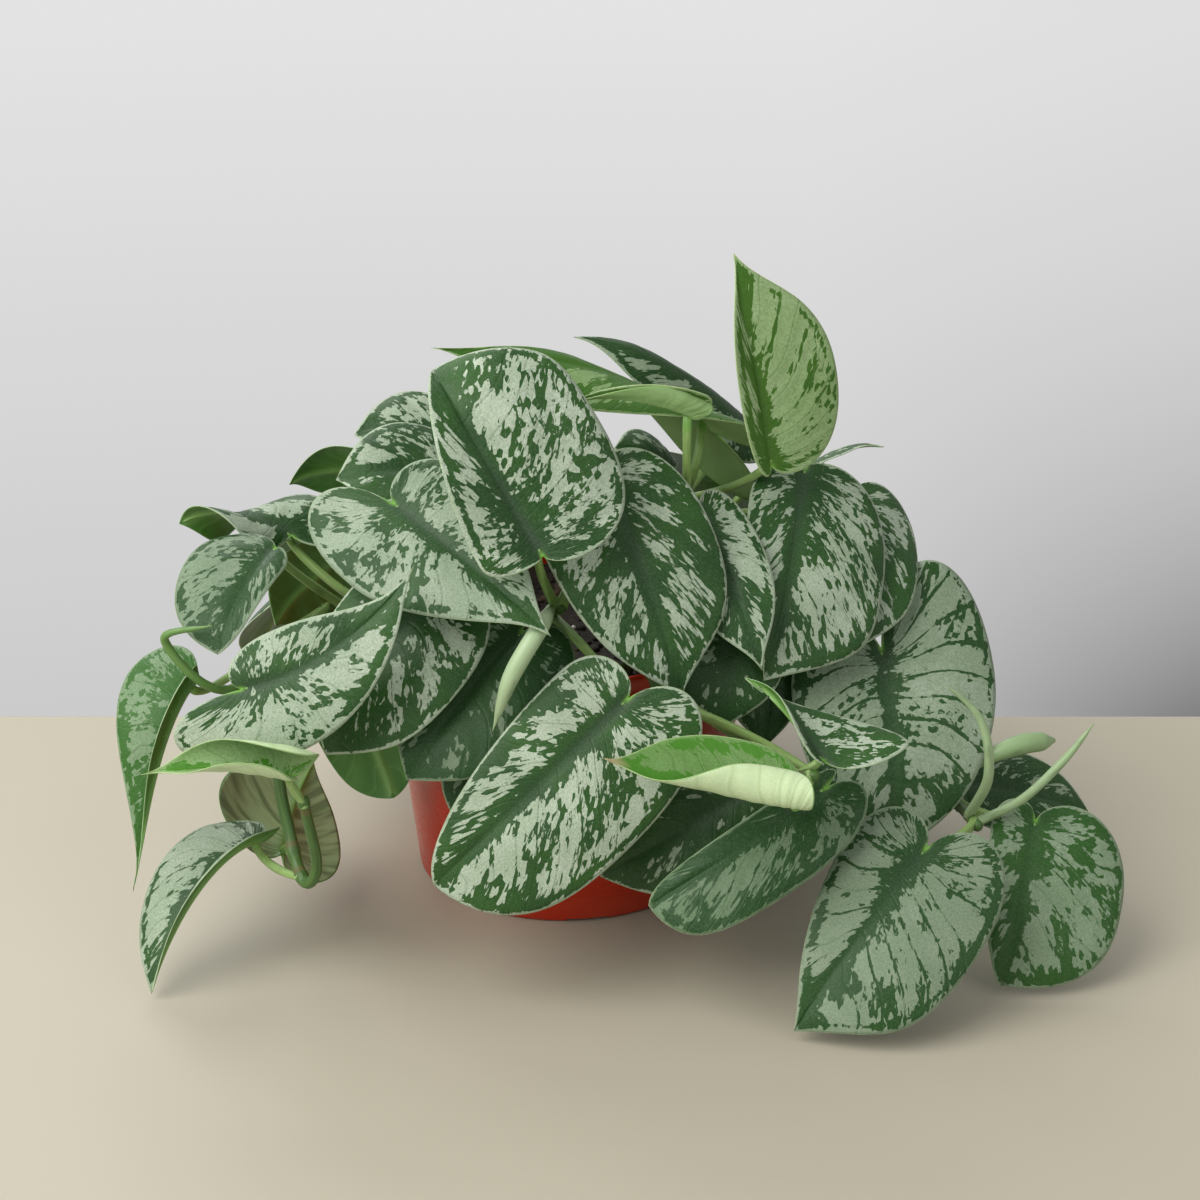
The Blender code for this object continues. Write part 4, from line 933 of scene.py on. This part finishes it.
def carve(body, tools):
    for tool in tools:
        bite = body.modifiers.new("bite", "BOOLEAN")
        bite.operation, bite.object, bite.solver = "DIFFERENCE", tool, "EXACT"
        bpy.context.view_layer.update()
        carved = body.evaluated_get(bpy.context.evaluated_depsgraph_get())
        mesh = bpy.data.meshes.new_from_object(carved)
        body.modifiers.clear()
        body.data = mesh
        bpy.data.objects.remove(tool)


def block(name, centre, size, turn, rounding=0.0):
    bm = bmesh.new()
    bmesh.ops.create_cube(bm, size=1.0)
    bmesh.ops.scale(bm, vec=Vector(size) * mm, verts=bm.verts)
    if rounding:
        bmesh.ops.bevel(bm, geom=bm.edges[:], offset=rounding * mm, segments=3, affect="EDGES", profile=0.5)
    bmesh.ops.rotate(bm, matrix=Matrix.Rotation(turn, 3, "Z"), verts=bm.verts)
    bmesh.ops.translate(bm, vec=Vector(centre) * mm, verts=bm.verts)
    mesh = bpy.data.meshes.new(name)
    bm.to_mesh(mesh)
    bm.free()
    return addObject(name, mesh)


def innerWall():            # the wall's inner side, as (radius, height) from the floor up to the rim band
    radius, height = pot["bandTop"]
    outer = [(pot["base"], pot["floor"]), pot["stepLow"], pot["stepHigh"], (radius, height + 1)]
    return [(radius - pot["wall"], height) for radius, height in outer]


def potSkin(tones):
    skin = Finish("potSkin", Specular_IOR_Level=0.35)
    place = skin.node("ShaderNodeTexCoord", output="Object")
    _, _, z = skin.parts(place)
    cloud = skin.noise(place, scale=22, detail=3.0)
    grain = skin.noise(place, scale=900, detail=2.0)
    around = skin.noise(place, (14, 14, 900), detail=3.0, roughness=0.6)
    scuffs = skin.noise(place, (160, 160, 1400), detail=2.0, roughness=0.7)
    foot = skin.ramp(z, 0.012, 0.0)
    colour = skin.coat(tones["deep"],
                       (tones["wall"], skin.ramp(cloud, 0.25, 0.6)),
                       (tones["dust"], skin.ramp(scuffs, 0.66, 0.8, 0.0, 0.5)),
                       (tones["dust"], foot * skin.ramp(cloud, 0.4, 0.65, 0.0, 0.45)))
    rough = skin.ramp(cloud, 0.3, 0.7, 0.2, 0.3) + skin.ramp(scuffs, 0.6, 0.8, 0.0, 0.25) + foot * 0.15
    return skin.wear(colour, rough, around * 0.6 + grain * 0.25, depth=0.25, reach=0.0002)


def turnPot():
    top, lip = pot["height"], pot["height"] - pot["lip"]
    profile = [(0, 0), (pot["base"], 0), pot["stepLow"], pot["stepHigh"], pot["bandTop"],
               (pot["rim"], lip + 1), (pot["rim"], top), (pot["rim"] - pot["lipThick"], top),
               *reversed(innerWall()), (0, pot["floor"])]
    made = turned("pot_wall", rounded(profile, pot["corners"]), pot["sides"])
    tools = []
    long = pot["base"] + pot["notchPast"] - pot["notchInner"]
    bore = [(0, pot["drainFrom"]), (pot["drain"], pot["drainFrom"]), (pot["drain"], pot["drainTo"]),
            (0, pot["drainTo"])]
    for k in range(pot["notches"]):
        turn = math.radians(pot["notchTurn"]) + 2 * math.pi * k / pot["notches"]
        ahead = Vector((math.cos(turn), math.sin(turn), 0))
        tools.append(block("notch", ahead * (pot["notchInner"] + long / 2),
                           (long, pot["notchWidth"], 2 * pot["notchDeep"]), turn, pot["notchRound"]))
        drain = turned("drain", bore, pot["drainSides"])
        drain.data.transform(Matrix.Translation(ahead * pot["drainAt"] * mm))
        tools.append(drain)
    carve(made, tools)
    made.data.shade_smooth()
    made.data.set_sharp_from_angle(angle=math.radians(pot["sharp"]))
    made.data.materials.clear()
    made.data.materials.append(potSkin(potTones))
    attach(made, "root")
    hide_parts("pot")
    print("pot turned")


turnPot()


# Soil: an uneven bed with crumbs, bits of bark and white grains, each with its number, sizes and squash

soil = dict(top=96, crown=3, reach=72, sink=0.9, uneven=0.55, slack=0.5, lift=0.4, sides=128, rings=44,
            clear=3.5, stand=0.2, crumbs=(420, (0.9, 2.3), (1, 1, 0.8)),
            barks=(70, (1.6, 3.6), (1.6, 0.7, 0.4)), grains=(90, (0.7, 1.6), (1, 0.9, 0.9)))
soilTones = dict(dark=(0.013, 0.009, 0.006), brown=(0.028, 0.018, 0.011), bark=(0.075, 0.044, 0.025),
                 white=(0.62, 0.60, 0.55))


def lump(bm, centre, size, squash, draws, tone):
    made = bmesh.ops.create_icosphere(bm, subdivisions=1, radius=1.0)["verts"]
    turn = Matrix.Rotation(draws.uniform(0, 6.28), 3, "Z")
    turn = turn @ Matrix.Rotation(draws.uniform(-0.5, 0.5), 3, "X")
    layer = bm.verts.layers.float["tone"]
    for vert in made:
        place = Vector([a * b for a, b in zip(vert.co, squash)]) * size * draws.uniform(0.75, 1.15)
        vert.co = (turn @ place + Vector(centre)) * mm
        vert[layer] = tone


def bed(x, y):                  # the soil's height over the pot's middle
    share = np.hypot(x, y) / soil["reach"]
    waves = np.sin(x / 11 + 1) * np.sin(y / 9) + 0.6 * np.sin(x / 4.3) * np.sin(y / 5.1 + 2)
    return soil["top"] + soil["crown"] * np.clip(1.2 - share, 0, 1) - soil["sink"] + soil["uneven"] * waves


def soilSkin(tones):
    skin = Finish("soilSkin")
    place = skin.node("ShaderNodeTexCoord", output="Object")
    tone = skin.attribute("tone", "Fac")        # 0 on the bed and its crumbs, 1 on bark, 2 on white grains
    clods = skin.noise(place, scale=260, detail=4.0, roughness=0.7)
    fibres = skin.noise(place, (300, 900, 600), detail=3.0, roughness=0.6)
    colour = skin.coat(tones["dark"],
                       (tones["brown"], skin.ramp(clods, 0.35, 0.7)),
                       (tones["bark"], skin.ramp(fibres, 0.6, 0.72, 0.0, 0.6)),
                       (tones["bark"], skin.bell(tone - 1, 0.3) * 0.8),
                       (tones["white"], skin.ramp(tone, 1.5, 1.8)))
    rough = skin.ramp(clods, 0.3, 0.7, 0.98, 0.78)
    return skin.wear(colour, rough, clods + fibres * 0.5, depth=0.8, reach=0.001)


def fillPot():
    draws = random.Random(7)
    walls, top, low = innerWall(), soil["top"], pot["floor"] + soil["lift"]
    edge = np.interp(top, [h for _, h in walls], [r for r, _ in walls]) - soil["slack"]
    sides = [(r - soil["slack"], h) for r, h in walls]
    foot = sides[0][0]
    profile = [(0, low), (foot - 1, low), (foot, low + 1), *sides[1:-1], (edge, top - 2)]
    profile += [(r, top) for r in np.linspace(edge - 0.8, 1.0, soil["rings"])] + [(0, top)]
    made = turned("soil_bed", profile, soil["sides"])
    bm = bmesh.new()
    bm.from_mesh(made.data)
    bm.verts.layers.float.new("tone")
    for vert in bm.verts:
        x, y, z = vert.co / mm
        if z > top - 1:
            vert.co.z = bed(x, y) * mm
    for tone, key in enumerate(("crumbs", "barks", "grains")):
        number, sizes, squash = soil[key]
        for _ in range(number):
            far, turn = (edge - soil["clear"]) * draws.random()**0.5, draws.uniform(0, 2 * math.pi)
            size = draws.uniform(*sizes)
            x, y = far * math.cos(turn), far * math.sin(turn)
            lump(bm, (x, y, bed(x, y) + soil["stand"] * size), size, squash, draws, tone)
    bm.to_mesh(made.data)
    bm.free()
    made.data.shade_smooth()
    made.data.materials.append(soilSkin(soilTones))
    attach(made, "root")
    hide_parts("soil")
    print("soil filled in")


fillPot()


# Table top, which isn't part of the plant

table = dict(centre=(60, -334.5, -15), size=(1900, 931, 30), rounding=2.0)
tableTones = dict(light=(0.44, 0.405, 0.315), dark=(0.36, 0.33, 0.25))


def tableSkin(tones):
    skin = Finish("tableSkin")
    place = skin.node("ShaderNodeTexCoord", output="Object")
    cloud = skin.noise(place, scale=3.0, detail=3.0)
    grain = skin.noise(place, scale=1400, detail=1.0)
    colour = skin.mix(tones["light"], tones["dark"], skin.ramp(cloud, 0.3, 0.7, 0.0, 0.05))
    return skin.wear(colour, skin.ramp(cloud, 0.3, 0.7, 0.5, 0.58), grain, depth=0.06, reach=0.0001)


def layTable():
    made = block("table_top", table["centre"], table["size"], 0.0, rounding=table["rounding"])
    made.data.materials.append(tableSkin(tableTones))
    print("table laid")


layTable()
